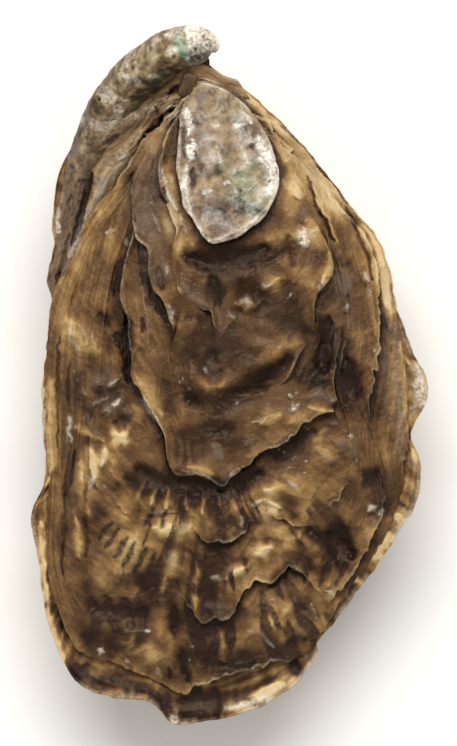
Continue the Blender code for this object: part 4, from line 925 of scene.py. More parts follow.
def bells(x, y, places):
    """Sum of bell curves round the places (x, y, radius), at most 1."""
    total = 0 * x
    for place_x, place_y, radius in places:
        total = total + np.exp(-((x - place_x) ** 2 + (y - place_y) ** 2) / radius**2)
    return np.clip(total, 0, 1)


def even_directions(outline, centre, start, count):
    """Directions from the centre to places spread evenly along the outline from the starting
    direction, and their distance along it."""
    direction = start + np.linspace(0, 2 * math.pi, 6001)
    radius = reach(outline, centre, direction)
    steps = np.hypot(np.diff(radius * np.cos(direction)), np.diff(radius * np.sin(direction)))
    length = np.concatenate([[0], np.cumsum(steps)])
    along = np.arange(count) / count * length[-1]
    return np.interp(along, length, direction)[None, :], along[None, :], length[-1]


# ---------------------------------------------------------------------------------------------
# The upper valve
# ---------------------------------------------------------------------------------------------

SEAM = math.radians(96)    # direction, from the fan centre, in which each plate's rings begin
RELIEF_GAIN = 1.5          # how much the painted relief is heightened
MARGIN_SINK = 0.8          # how far the sunken parts of the youngest plate's edge lie lower
HINGE_LEVEL = 0.38         # share of a plate's height that is left at the hinge
PLATE_LIFT = 1.15          # height of the youngest plate's top above the parting plane
RING_CENTRE = (-3.6, 44.4) # centre of the crown's fine growth rings
RING_SPACING = 0.95        # distance between those rings
SMOOTH_FROM = 4            # plates from this number on are smooth, with hardly any fibres

# Plates from the youngest to the oldest: name, outline, level above the dome, edge thickness,
# raggedness, and the places (x, y, radius) where the edge has sunk into the plate below.
PLATES = [
    ("margin_plate", MARGIN_OUTLINE, 0.0, 0.5, 0.7,
     [(-29, 4, 9), (-29, -18, 18), (-28, -34, 9), (-22, -45, 7), (-10, -50, 5), (13, -45, 6),
      (20, -33, 8), (27, -16, 12), (26, 8, 14), (18, 28, 6)]),
    ("fourth_plate", FOURTH_OUTLINE, 0.8, 0.45, 1.1,
     [(-27, 12, 9), (-27, -4, 10), (-27, -20, 10), (-20, 24, 8), (-12, 36, 8), (14, 32, 6),
      (23, -10, 4), (24.8, -18, 4), (-26, -32, 5), (-22, -38, 5), (-15, -36, 5), (-9, -35, 3),
      (15, -35, 3.4)]),
    ("band_plate", BAND_OUTLINE, 1.6, 0.4, 1.1,
     [(15.5, 25, 4), (-21, 2, 7), (-20, 12, 7), (-17, 23, 7), (-12, 35, 7), (19, -4, 5), (-21.6, -7, 4),
      (-19.6, -20, 3.4), (-13, -24, 4.0), (-7, -24, 3.6), (5, -23, 3.0), (14, -22, 4.6),
      (12, 33, 6), (20, -16, 3), (20.4, -8.4, 5),
      (17, 17, 5), (19, 8, 5)]),
    ("long_tongue", LONG_TONGUE_OUTLINE, 2.8, 0.4, 0.6,
     [(14, 27, 6), (8, 36, 6), (-13, 33, 4), (16.4, 18, 5), (17.6, 9, 4)]),
    ("short_tongue", SHORT_TONGUE_OUTLINE, 3.7, 0.35, 0.35,
     [(-6, -6, 3.0), (-3, -7, 2.6), (2, -4.6, 3.4), (7, -2.6, 3.4), (-9, -1, 4.0), (-9.5, 4, 2.4),
      (12.6, 27, 6), (8, 36, 6), (-12, 36, 4), (13, 6, 3.0)]),
    ("notched_plate", NOTCHED_OUTLINE, 4.4, 0.35, 0.3,
     [(12, 16, 4), (12.5, 22, 4), (11, 29, 4), (7, 36, 5), (-9, 17, 3.4), (-6, 11.4, 2.4),
      (7, 12, 3.4), (2, 9.6, 2.4), (-1.6, 6.4, 1.6)]),
    ("crown", CROWN_OUTLINE, 5.5, 0.7, 0.25, []),
]


class Plate:
    """The grid of one growth plate: places, distance inwards from its free edge and outwards from
    the next older plate's, where either edge has sunk, where the older plate's edge casts painted
    shade on it, and where the flanks are."""

    def __init__(self, number, around=820, rings=104):
        """Works out the grid of the plate with this number in PLATES."""
        self.name, outline, self.level, self.edge, frill, sunk = PLATES[number]
        self.direction, self.along, length = even_directions(outline, FAN_CENTRE, SEAM, around)
        self.length = length
        seed = 11 + 10 * number
        closing = ease(0, 6, self.along) * ease(length, length - 6, self.along)
        outer = reach(outline, FAN_CENTRE, self.direction)
        notches = ease(0.25, 0.7, rough(self.along, 0 * self.along + 9, 2.2, 2, seed + 40))
        ragged = rough(self.along, 0 * self.along + 3, 1.0, 2, seed + 20)
        outer = outer + closing * frill * (0.7 * rough(self.along, 0 * self.along, 3.0, 4, seed)
                                           - 0.8 * notches + 0.35 * ragged)
        self.sunk = self.at_edge(outer, sunk)
        if number + 1 < len(PLATES):
            older_outline = PLATES[number + 1][1]
            inner = np.minimum(reach(older_outline, FAN_CENTRE, self.direction), outer - 0.25)
            start = np.maximum(inner - 3.0, 0.3 * inner)
            # Painted shade: where the older plate's edge stands clear, its shade is painted on this plate
            # just beyond it.
            self.shaded = 1 - self.at_edge(inner, PLATES[number + 1][5])
        else:
            inner, start = 0.12 * outer, 0.12 * outer
            self.shaded = 0 * outer
        self.younger_level = PLATES[number - 1][2] if number else self.level - MARGIN_SINK
        share = np.linspace(0, 1, rings)[:, None]
        self.radius = np.concatenate([np.linspace(0, 1, 5)[:-1, None] * start,
                                      start + share * (outer - start)], 0)
        self.x = FAN_CENTRE[0] + self.radius * np.cos(self.direction)
        self.y = FAN_CENTRE[1] + self.radius * np.sin(self.direction)
        self.inward = outer - self.radius
        self.across = self.radius - inner
        bearing = np.degrees(self.direction) % 360
        self.flank = ease(262, 247, bearing) * ease(120, 200, bearing) + ease(281, 296, bearing)
        if number >= SMOOTH_FROM:
            self.flank = 0.35 * self.flank

    def at_edge(self, radius, places):
        """How much each place of an edge with this radius lies in one of the sunken places."""
        return bells(FAN_CENTRE[0] + radius * np.cos(self.direction),
                     FAN_CENTRE[1] + radius * np.sin(self.direction), places)


def plate_surface(p, seed):
    """Height above the parting plane, and marks, of one plate: the dome and its level, swells,
    strokes, growth steps and fibres that follow the edge, and a turned-up or sunken edge."""
    x, y, along = p.x, p.y, p.along + 0 * p.radius
    crown = p.name == "crown"
    near_hinge = ease(11.0, 1.5, np.hypot(x - UMBO[0], y - UMBO[1] - 1.5))
    calm = 1 - 0.8 * near_hinge
    stroke_height, marks = paint(x, y, CROWN_STROKES if crown else UPPER_STROKES, 500)
    hills, lumps = rough(x, y, 7.0, 2, 900), rough(x, y, 2.8, 2, 910)
    swell = 0.35 * hills + 0.24 * lumps
    fine = 0.04 * rough(x, y, 1.0, 3, 920)
    fibres = rough(p.across * 1.2, along / 8, 1.0, 3, seed)
    strands = lamellae(p.across + 0.5 * rough(x, y, 4.0, 2, seed + 1), along, 1.1, seed + 2, 1.2)
    steps = lamellae(p.across + 0.4 * rough(x, y, 5.0, 2, seed + 3), along, 2.7, seed + 4, 0.5)
    amount = 0.35 if crown else 1.0
    relief = RELIEF_GAIN * stroke_height + amount * (
        (0.02 + 0.12 * p.flank) * fibres + 0.10 * p.flank * strands + 0.10 * steps) + fine
    bearing, distance = polar(x, y, RAY_CENTRE)
    low_half = ease(-12, -20, y) * (1 - p.flank)
    scales = lamellae(p.across + 1.3 * rough(x, y, 4.4, 2, seed + 8), along, 3.1, seed + 9, 1.1)
    ribs = rough(bearing * 24.0, distance / 7, 1.0, 2, 960)
    dark_ribs = ease(0.03, 0.17, ribs) * ease(-0.25, 0.10, rough(x, y, 5.0, 2, 970))
    glints = ease(0.6, 0.9, rough(x, y, 0.9, 2, 990)) * ease(0.1, 0.5, rough(x, y, 5.0, 2, 991))
    knobs = rough(x, y, 2.2, 2, 940)
    crinkles = 1 - np.abs(rough(x, y, 1.9, 2, 950)) * 2.4
    relief = relief + low_half * (0.18 * scales + 0.20 * knobs - 0.18 * ribs)
    relief = relief + (0.02 + 0.10 * low_half) * np.maximum(crinkles, 0) * (1 - 0.7 * p.flank)
    folds = rough(bearing * 9.0, distance / 14, 1.0, 2, seed + 5)
    edge_zone = ease(7.0, 0.0, p.inward) * (1 - p.flank)
    relief = relief + (0 if crown else 0.28) * folds * edge_zone
    waves = 1 + 0.9 * rough(along, 0 * along, 4.0, 2, seed + 6)
    relief = relief + 0.38 * ease(2.6, 0.0, p.inward) * waves * (1 - p.sunk)
    if crown:
        _, from_umbo = polar(x, y, RING_CENTRE)
        rings = np.sin(from_umbo * 2 * math.pi / RING_SPACING + 2.6 * rough(x, y, 1.6, 2, 31))
        near_umbo = ease(4.8, 2.4, from_umbo) * ease(-2.5, 0.5, x - RING_CENTRE[0]) * ease(
            -0.5, 0.3, rough(x, y, 1.8, 2, 32))
        relief = relief + 0.05 * rings * near_umbo + 0.10 * rough(x, y, 1.3, 3, 930)
        marks["green"] = marks["green"] + 0.36 * ease(-0.1, 0.5, rough(x, y, 2.2, 3, 33)) * ease(
            -4, 0, x) * ease(23, 27, y)
        marks["grey"] = marks["grey"] + 0.16 + 0.5 * ease(
            0, 0.6, rough(x, y, 2.6, 3, 34)) * ease(1, -3, x)
        marks["pale_wear_and_glint"] = marks["pale_wear_and_glint"] + 0.30 * ease(-0.2, 0.7, rough(x, y, 2.4, 4, 35))
        marks["tone"] = marks["tone"] + 0.34 * rough(x, y, 1.2, 3, 36) + 0.1 * rough(
            x, y, 3.4, 2, 37) + 0.06
        marks["pale_wear_and_glint"] = marks["pale_wear_and_glint"] + 0.12 * np.maximum(rings, 0) * near_umbo
        marks["tone"] = marks["tone"] - 0.16 * np.maximum(-rings, 0) * near_umbo
    sink = p.sunk * ease(6.0, 0.0, p.inward) * (p.level - p.younger_level + 0.25)
    trough = p.shaded * np.exp(-np.maximum(p.across, 0) / 1.6)
    hidden = 0 if crown else 1.8 * ease(-0.3, -2.6, p.across)
    level = (p.level - sink - 0.35 * trough) * (1 - (1 - HINGE_LEVEL) * near_hinge) - hidden
    # Painted shade: darker in the trough just under the older plate's edge.
    marks["tone"] = marks["tone"] - 0.55 * trough + 0.16 * (
        fibres * (0.15 + 0.55 * p.flank) + 0.5 * (strands - 0.35) * p.flank) * amount
    if not crown:
        # Painted light and shade: the tone follows the height of swells, scales and knobs, lighter on
        # their tops and darker in their hollows and where the ribs cut in.
        marks["tone"] = marks["tone"] + 0.07 * (hills + lumps) + low_half * (
            0.18 * (scales - 0.3) + 0.10 * knobs - 0.10 * ribs + 0.07)
        # Painted highlights: small pale glints scattered in patches.
        marks["pale_wear_and_glint"] = marks["pale_wear_and_glint"] + 0.4 * glints
        marks["purple_fold_and_shade"] = marks["purple_fold_and_shade"] + 0.95 * dark_ribs * low_half
        marks["grey"] = marks["grey"] + 0.12 * ease(0.0, 0.7, rough(x, y, 4.2, 3, 980))
    marks["tone"] = marks["tone"] + 0.05 * low_half
    worn = ease(-0.2, 0.7, rough(along, 0 * along + 5, 5.0, 3, seed + 10))
    marks["fibre"] = p.flank * amount + 0 * x
    marks["edge"] = ease(0.5, 0.0, p.inward + 0.3 * rough(x, y, 1.2, 2, seed)) * (1 - p.sunk) * (
        0.2 * ease(41, 34, y + 0.8 * x) if crown else 0.15) + 0.5 * worn * ease(
            0.5, 0.0, p.inward) * (1 - p.sunk)
    return parting_height(y) + PLATE_LIFT + dome(x, y) + level + (swell + relief) * calm, marks


def finish_plate(p, top, marks):
    """Closes a plate: its top, a rounded free edge, and an underside that runs back under the
    plate and thickens inwards."""
    turn_rings, under_rings = 5, 7
    turn = np.linspace(0, math.pi, turn_rings + 1)[1:, None]
    rim = p.radius[-1:]
    edge_radius = rim + 0.4 * p.edge * np.sin(turn)
    edge_height = top[-1:] - 0.5 * p.edge * (1 - np.cos(turn))
    back = 1 - np.linspace(0, 1, under_rings + 1)[1:, None] ** 1.4
    nearest = np.abs(p.radius[None] / rim - back[:, None]).argmin(1)
    under_height = (np.take_along_axis(top, nearest, 0) - p.edge
                    - 0.42 * np.minimum(rim * (1 - back), 8.0))
    radius = np.concatenate([p.radius, edge_radius, rim * back], 0)
    height = np.concatenate([top, edge_height, under_height], 0)
    extra = turn_rings + under_rings
    points = np.stack([FAN_CENTRE[0] + radius * np.cos(p.direction),
                       FAN_CENTRE[1] + radius * np.sin(p.direction), height], -1)
    marks = {mark: np.concatenate([grid, np.repeat(grid[-1:], extra, 0)], 0)
             for mark, grid in marks.items()}
    along = with_seam(p.along + 0 * radius)
    along[:, -1] = p.length
    across = with_seam(np.concatenate([p.radius, np.repeat(rim, extra, 0)], 0))
    return closed_grid(p.name, points, marks, (along, across))


def growth_plate(number):
    """One closed growth plate, by its number in PLATES."""
    p = Plate(number)
    top, marks = plate_surface(p, 30 + 10 * number)
    return finish_plate(p, top, marks)


# ---------------------------------------------------------------------------------------------
# The cupped valve, its beak and the ligament
# ---------------------------------------------------------------------------------------------

RIM_THICKNESS = 1.0        # thickness of the cupped valve at its rim
FLAT_BLEND = 0.3           # how softly the bowl runs into the flat spot that it rests on
SHELF_DEPTH = 2.5          # depth of the hinge shelf's underside below the parting plane
BEAK_FLATNESS = 0.92       # height of the beak's section as a share of its width

# The beak's centre line from the tip down the left side: x, y, radius, and height above the
# parting plane.
BEAK_PATH = [
    (-1.9, 51.6, 0.3, 1.3), (-2.4, 52.1, 1.5, 1.4), (-3.4, 52.4, 2.5, 1.4), (-5.0, 52.5, 3.1, 1.3),
    (-6.6, 52.5, 3.25, 1.2), (-7.4, 52.4, 3.15, 1.2), (-8.4, 52.1, 3.3, 1.1),
    (-9.8, 51.4, 3.6, 1.0), (-12.4, 49.4, 3.8, 0.8), (-15.2, 47.0, 3.8, 0.5),
    (-17.6, 44.6, 3.6, 0.2), (-19.6, 42.0, 3.3, -0.1), (-21.4, 38.8, 3.0, -0.4),
    (-23.4, 34.2, 2.6, -0.7), (-24.9, 30.0, 2.0, -0.9), (-26.0, 26.2, 1.4, -1.3),
    (-26.8, 21.6, 0.6, -1.9),
]


def open_spline(points, count):
    """Smooth curve through the rows of points, with count rows: Catmull-Rom with the end rows
    carried on straight."""
    p = np.array(points, float)
    p = np.vstack([2 * p[0] - p[1], p, 2 * p[-1] - p[-2]])
    place = np.linspace(0, len(points) - 1.000001, count)
    span = place.astype(int)
    t = (place - span)[:, None]
    p0, p1, p2, p3 = p[span], p[span + 1], p[span + 2], p[span + 3]
    return 0.5 * (2 * p1 + (p2 - p0) * t + (2 * p0 - 5 * p1 + 4 * p2 - p3) * t**2
                  + (3 * p1 - p0 - 3 * p2 + p3) * t**3)


def cupped_valve():
    """The lower valve: a bowl of growth rings and radial folds that rests on a worn flat spot,
    a rim, and a shelf that runs in under the upper valve."""
    around, bowl_rings, rim_rings, shelf_rings = 900, 46, 8, 50
    direction, along, length = even_directions(LOWER_OUTLINE, CUP_CENTRE, math.radians(100), around)
    closing = ease(0, 6, along) * ease(length, length - 6, along)
    outer = reach(LOWER_OUTLINE, CUP_CENTRE, direction)
    x_rim = CUP_CENTRE[0] + outer * np.cos(direction)
    y_rim = CUP_CENTRE[1] + outer * np.sin(direction)
    behind_beak = ease(26.0, 32.0, y_rim) * ease(1.0, -3.0, x_rim)
    outer = outer - 2.2 * behind_beak * ease(30.0, 46.0, y_rim)
    outer = outer + closing * (1 - behind_beak) * 0.28 * rough(along, 0 * along, 2.4, 4, 71)

    bowl_share = np.linspace(0, 1, bowl_rings)[:, None] ** 0.75
    radius = bowl_share * outer
    x, y = CUP_CENTRE[0] + radius * np.cos(direction), CUP_CENTRE[1] + radius * np.sin(direction)
    depth = CUP_DEPTH * (1 - bowl_share**2.4) ** 0.85
    rings = lamellae(-bowl_share * 34 + rough(x, y, 9.0, 2, 72), along + 0 * radius, 3.4, 73, 0.8)
    folds = rough(direction * 5 + 0 * radius, radius / 22, 1.0, 3, 74)
    outward = 0.9 * (rings - 0.4) + 0.8 * folds * ease(0.35, 0.8, bowl_share)
    outward = outward * ease(0.10, 0.35, bowl_share) * ease(1.0, 0.9, bowl_share) * closing
    floor = parting_height(y) - RIM_THICKNESS - depth - 0.7 * outward
    floor = (0.5 * (floor + np.sqrt(floor**2 + FLAT_BLEND))
             - 0.5 * math.sqrt(FLAT_BLEND) * ease(3.0, 0.0, floor))
    floor = np.maximum(floor, 0)
    radius = radius + 0.45 * outward * ease(0.5, 0.95, bowl_share)

    rim_turn = np.linspace(0, math.pi, rim_rings + 2)[1:-1, None]
    rim_radius = outer + 0.25 * np.sin(rim_turn)
    rim_height = parting_height(y[-1:]) - 0.5 * RIM_THICKNESS * (1 + np.cos(rim_turn))
    shelf_inward = np.concatenate([np.linspace(0, 14, shelf_rings - 6), [18, 22, 26, 30, 34, 38]])
    shelf_radius = np.maximum(outer - shelf_inward[:, None], 0.02 * outer)
    sx = CUP_CENTRE[0] + shelf_radius * np.cos(direction)
    sy = CUP_CENTRE[1] + shelf_radius * np.sin(direction)
    painted, marks = paint(sx, sy, LOWER_STROKES, 600)
    inward = shelf_inward[:, None] + 0 * sx
    below_upper = ease(0.0, 2.4, inward - 1.0)
    under_folds = ease(1.0, 3.0, inward) * ease(12, 18, sy) * ease(-6, -14, sx)
    lines = rough(inward * 1.3, along / 7 + 0 * inward, 1.0, 3, 75)
    stripes = rough(along / 1.5 + 0 * inward, inward / 10, 1.0, 2, 76)
    shelf = (parting_height(sy) - 0.1 + painted + 0.16 * lines + 0.22 * stripes
             + 0.18 * rough(sx, sy, 3.0, 2, 77) - 0.4 * ease(0.8, 0.0, inward)
             - 0.5 * below_upper - 1.6 * under_folds)
    marks["tone"] = marks["tone"] + 0.30 * stripes + 0.25 * lines
    worn = ease(-0.25, 0.45, rough(along, 0 * along + 7, 3.4, 3, 79))
    marks["edge"] = 0.8 * worn * ease(0.9, 0.0, inward)
    marks["fibre"] = 0.4 + 0 * inward

    all_radius = np.concatenate([radius, rim_radius, shelf_radius], 0)
    height = np.concatenate([floor, rim_height, shelf], 0)
    points = np.stack([CUP_CENTRE[0] + all_radius * np.cos(direction),
                       CUP_CENTRE[1] + all_radius * np.sin(direction), height], -1)
    before = bowl_rings + rim_rings
    full = {}
    for name, grid in marks.items():
        outside = np.repeat(grid[:1], before, 0)
        fade = np.concatenate([ease(0.80, 1.0, bowl_share), np.ones((rim_rings, 1))], 0)
        full[name] = np.concatenate([outside * fade, grid], 0)
    outside = np.zeros((before, around))
    outside[:bowl_rings] = 0.45 * (rings - 0.35) + 0.25 * folds
    full["tone"][:before] += outside
    rays = ease(0.15, 0.6, rough(direction * 7 + 0 * radius, radius / 9, 1.0, 3, 78))
    full["purple_fold_and_shade"][:bowl_rings] += 0.75 * rays * ease(0.30, 0.6, bowl_share)
    full["pale_wear_and_glint"][:bowl_rings] += 0.6 * ease(0.45, 0.1, bowl_share) + 0.25 * ease(0.3, 0.7, folds)
    along_uv = with_seam(along + 0 * all_radius)
    along_uv[:, -1] = length
    across = np.concatenate([radius, np.repeat(outer, rim_rings, 0) + 1, outer + 2 + inward], 0)
    return closed_grid("cupped_valve", points, full, (along_uv, with_seam(across)))


def hinge_shelf():
    """Folded shell between the beak and the upper valve: strips carried from the hinge down the
    left side, from the outer line to the inner line, with folds and slits painted on, the slits
    darkened as painted shade."""
    rings, across_count, under_count = 560, 110, 12
    outer = open_spline([(1.4, 47.2), (-1.0, 48.0), (-4.0, 50.0), (-8.0, 50.4), (-12.0, 48.6),
                         (-16.0, 45.4), (-19.4, 42.0), (-23.2, 39.6), (-25.6, 35.4), (-26.7, 31.4),
                         (-27.4, 27.6), (-28.0, 24.0), (-27.7, 20.8), (-28.4, 17.8),
                         (-28.8, 15.2), (-28.3, 12.4), (-28.4, 10.4)], rings)
    inner = open_spline([(4.4, 42.6), (1.0, 42.0), (-3.0, 41.6), (-6.0, 40.2), (-8.4, 37.6),
                         (-10.4, 34.4), (-12.8, 31.0), (-15.4, 27.8), (-17.8, 24.6), (-19.4, 21.6),
                         (-21.0, 18.6), (-22.4, 15.8), (-23.6, 13.4), (-24.6, 11.8),
                         (-25.6, 10.6), (-26.4, 9.8), (-27.6, 9.6)], rings)
    share = np.linspace(0, 1, across_count)[None, :]
    x = outer[:, :1] + share * (inner[:, :1] - outer[:, :1])
    y = outer[:, 1:] + share * (inner[:, 1:] - outer[:, 1:])
    width = np.hypot(*(inner - outer).T)[:, None]
    along = np.cumsum(np.concatenate([[0], np.hypot(*np.diff(outer, axis=0).T)]))[:, None]
    distance = share * width
    painted, marks = paint(x, y, HINGE_STROKES, 700)
    lines = rough(distance * 1.5, along / 7 + 0 * distance, 1.0, 3, 81)
    strands = lamellae(distance + 0.6 * rough(x, y, 4, 2, 82), along + 0 * distance, 1.3, 83, 1.0)
    ends = ease(0, 3, along) * ease(along.max(), along.max() - 3, along)
    relief = painted + 0.16 * lines + 0.22 * strands + 0.3 * rough(x, y, 3.0, 3, 84)
    low = parting_height(y) - SHELF_DEPTH
    top = (parting_height(y) + 0.55 + relief * ends - 1.4 * ease(0.7, 0.0, distance)
           - 1.4 * ease(0.55, 0.9, share))
    marks["tone"] = marks["tone"] + 0.30 * lines + 0.25 * (strands - 0.35)
    marks["grey"] = marks["grey"] + 0.7 + 0.3 * lines + 0.6 * ease(-21, -24.5, x)
    marks["tone"] = marks["tone"] + 0.24 - 0.14 * ease(-21, -24.5, x)
    marks["edge"] = 0.5 * ease(0.7, 0.0, distance)
    marks["fibre"] = 1 + 0 * distance
    back = np.linspace(1, 0, under_count + 2)[None, 1:-1]
    under_x = outer[:, :1] + back * (inner[:, :1] - outer[:, :1])
    under_y = outer[:, 1:] + back * (inner[:, 1:] - outer[:, 1:])
    under = parting_height(under_y) - SHELF_DEPTH
    points = np.stack([np.concatenate([x, under_x], 1), np.concatenate([y, under_y], 1),
                       np.concatenate([np.maximum(top, low + 0.3), under], 1)], -1)
    marks = {name: np.concatenate([grid, 0 * under_x], 1) for name, grid in marks.items()}
    uv = (along + 0 * points[..., 0], np.concatenate([distance, width * back], 1))
    seam = (with_seam(uv[0]), with_seam(uv[1]))
    return closed_grid("hinge_shelf", points, marks, seam)


def beak():
    """The rolled beak: a rounded section carried along the beak path, swollen to a knob at its
    tip, with granules, pits and faint rings on its skin."""
    rings, around = 620, 150
    path = open_spline(BEAK_PATH, rings)
    centre_x, centre_y, radius, lift = path.T[:, :, None]
    forward_x, forward_y = np.gradient(centre_x, axis=0), np.gradient(centre_y, axis=0)
    size = np.hypot(forward_x, forward_y)
    side_x, side_y = -forward_y / size, forward_x / size
    turn = np.arange(around)[None, :] / around * 2 * math.pi
    along = np.cumsum(size, 0)
    tip = ease(0, 3.0, along)
    sideways, upwards = np.cos(turn), np.sin(turn)
    middle = parting_height(centre_y) + lift
    x = centre_x + radius * sideways * side_x
    y = centre_y + radius * sideways * side_y
    shape_height = BEAK_FLATNESS * radius * upwards
    painted, marks = paint(x, y, BEAK_STROKES, 800)
    girth = turn * radius
    grain = rough(x + 0.6 * shape_height, y + 0.4 * shape_height, 1.5, 4, 91)
    lumps = rough(x + shape_height, y - 0.5 * shape_height, 4.0, 2, 92)
    rings_relief = lamellae(along + 0.7 * lumps, girth + 40, 2.2, 93, 0.8)
    skin = (0.10 * grain + 0.16 * lumps + 0.10 * rings_relief) * tip + painted * (upwards > -0.4)
    speckle = rough(x + 0.5 * shape_height, y + 0.6 * shape_height, 0.9, 2, 96)
    skin = skin + 0.10 * speckle * tip
    full = radius + skin * np.minimum(radius / 2.0, 1)
    x = centre_x + full * sideways * side_x
    y = centre_y + full * sideways * side_y
    z = middle + BEAK_FLATNESS * full * upwards
    dots = ease(0.42, 0.62, rough(x - 0.4 * shape_height, y + 0.7 * shape_height, 1.0, 1, 97))
    marks["tone"] = marks["tone"] + 0.16 * grain + 0.06 * lumps + (
        0.40 * speckle - 0.4 * dots) * (0.2 + 0.8 * ease(5, 8, along)) - 0.12
    marks["grey"] = marks["grey"] + 0.05 + 0.30 * ease(18, 32, along)
    marks["green"] = marks["green"] + 0.12 * ease(0.0, 0.6, rough(x, y, 3.0, 3, 99)) * ease(
        30, 20, along)
    marks["pale_wear_and_glint"] = marks["pale_wear_and_glint"] + 0.36 * ease(0.1, 0.6, grain) * ease(34, 20, along)
    # The knob's tip is cream, and paler on its side towards the light as a painted highlight.
    marks["pale_wear_and_glint"] = marks["pale_wear_and_glint"] + 1.20 * ease(5.6, 4.2, along) * ease(50.4, 52.4, y)
    marks["edge"] = 0 * grain
    marks["fibre"] = 0 * grain
    marks = {name: np.where(upwards > -0.35, grid, 0.3 * grid) for name, grid in marks.items()}
    points = np.stack([x, y, z], -1)
    uv = (along + 0 * x, girth + 0 * x)
    seam = (with_seam(uv[0]), with_seam(uv[1]))
    seam[1][:, -1:] = 2 * math.pi * radius
    return closed_grid("beak", points[:, ::-1], {name: grid[:, ::-1] for name, grid in marks.items()},
                       (seam[0][:, ::-1], seam[1][:, ::-1]))


def ligament_pad():
    """The elastic pad in the notch: an egg shape whose skin has fine lengthwise layers."""
    rings, around = 70, 120
    centre, half_length, half_width, half_height = (-6.5, 46.2), 2.1, 1.4, 0.8
    heading = math.radians(74)     # its long axis, from the x axis
    squareness = 0.55              # 1 for an ellipse seen from above, less for squarer corners
    polar_angle = np.linspace(0, math.pi, rings)[:, None]
    turn = np.arange(around)[None, :] / around * 2 * math.pi
    u = half_length * np.sin(polar_angle) * np.sign(np.cos(turn)) * np.abs(np.cos(turn)) ** squareness
    v = half_width * np.sin(polar_angle) * np.sign(np.sin(turn)) * np.abs(np.sin(turn)) ** squareness
    layers = 0.05 * rough(v * 3, u / 2, 1.0, 3, 95) * np.sin(polar_angle)
    c, s = math.cos(heading), math.sin(heading)
    x, y = centre[0] + u * c - v * s, centre[1] + u * s + v * c
    flat = np.sign(np.cos(polar_angle)) * np.abs(np.cos(polar_angle)) ** 0.5
    z = parting_height(y) - 0.2 + half_height + half_height * flat + layers
    marks = {name: 0 * x for name in MARKS + ("edge", "fibre")}
    marks["tone"] = 6 * layers
    seam = (with_seam(u), with_seam(v))
    return closed_grid("ligament_pad", np.stack([x, y, z], -1)[::-1], marks, seam)


# ---------------------------------------------------------------------------------------------
# Materials
# ---------------------------------------------------------------------------------------------

# Sizes of the patterns in millimetres, and how far each moves the tone on its ramp from 0 to 1.
STAIN_LENGTH, STAIN_WIDTH = 5.0, 0.74   # stains drawn out along the growth rings
CLOUD_SIZE = 7.1           # broad clouds of stain, several to a plate
BLOTCH_SIZE = 2.4          # blotches where the horny skin has worn through
GRAIN_SIZE = 0.53          # grain of the calcite, drawn coarser than it is so that it shows
CLOUD_SHARE, GRAIN_SHARE = 0.31, 0.26
MIDDLE_TONE = 0.465        # place on the ramp of shell without a painted mark
LINE_DEPTH = 0.5           # depth of the stain lines as bump
PIT_DEPTH = 0.22           # depth of the grain's pits as bump
COPPER_GREEN = "558a68"    # the green stain in the beak's crease and on the crown
FOLD_PURPLE_AND_SHADE = "2a1b19"     # the dark purple-brown of the radial folds, also painted into slits, hollows and under the beak's knob as shade


def linear(colour):
    """Linear colour, with full alpha, of an sRGB hex value of six digits."""
    parts = [int(colour[i:i + 2], 16) / 255 for i in (0, 2, 4)]
    return (*[c / 12.92 if c <= 0.04045 else ((c + 0.055) / 1.055) ** 2.4 for c in parts], 1)


def add(tree, kind, links=None, output=0, **settings):
    """Adds a node and gives one of its outputs. settings are its properties, and links its inputs
    by name or number: a socket is linked, and any other value is set."""
    node = tree.nodes.new(kind)
    for key, value in settings.items():
        setattr(node, key, value)
    for key, value in (links or {}).items():
        if isinstance(value, bpy.types.NodeSocket):
            tree.links.new(value, node.inputs[key])
        else:
            node.inputs[key].default_value = value
    return node.outputs[output]


def new_material(name, roughness):
    """A new material with this roughness, its node tree and its surface node."""
    material = bpy.data.materials.new(name)
    material.use_nodes = True
    surface = material.node_tree.nodes["Principled BSDF"]
    surface.inputs["Roughness"].default_value = roughness
    return material, material.node_tree, surface


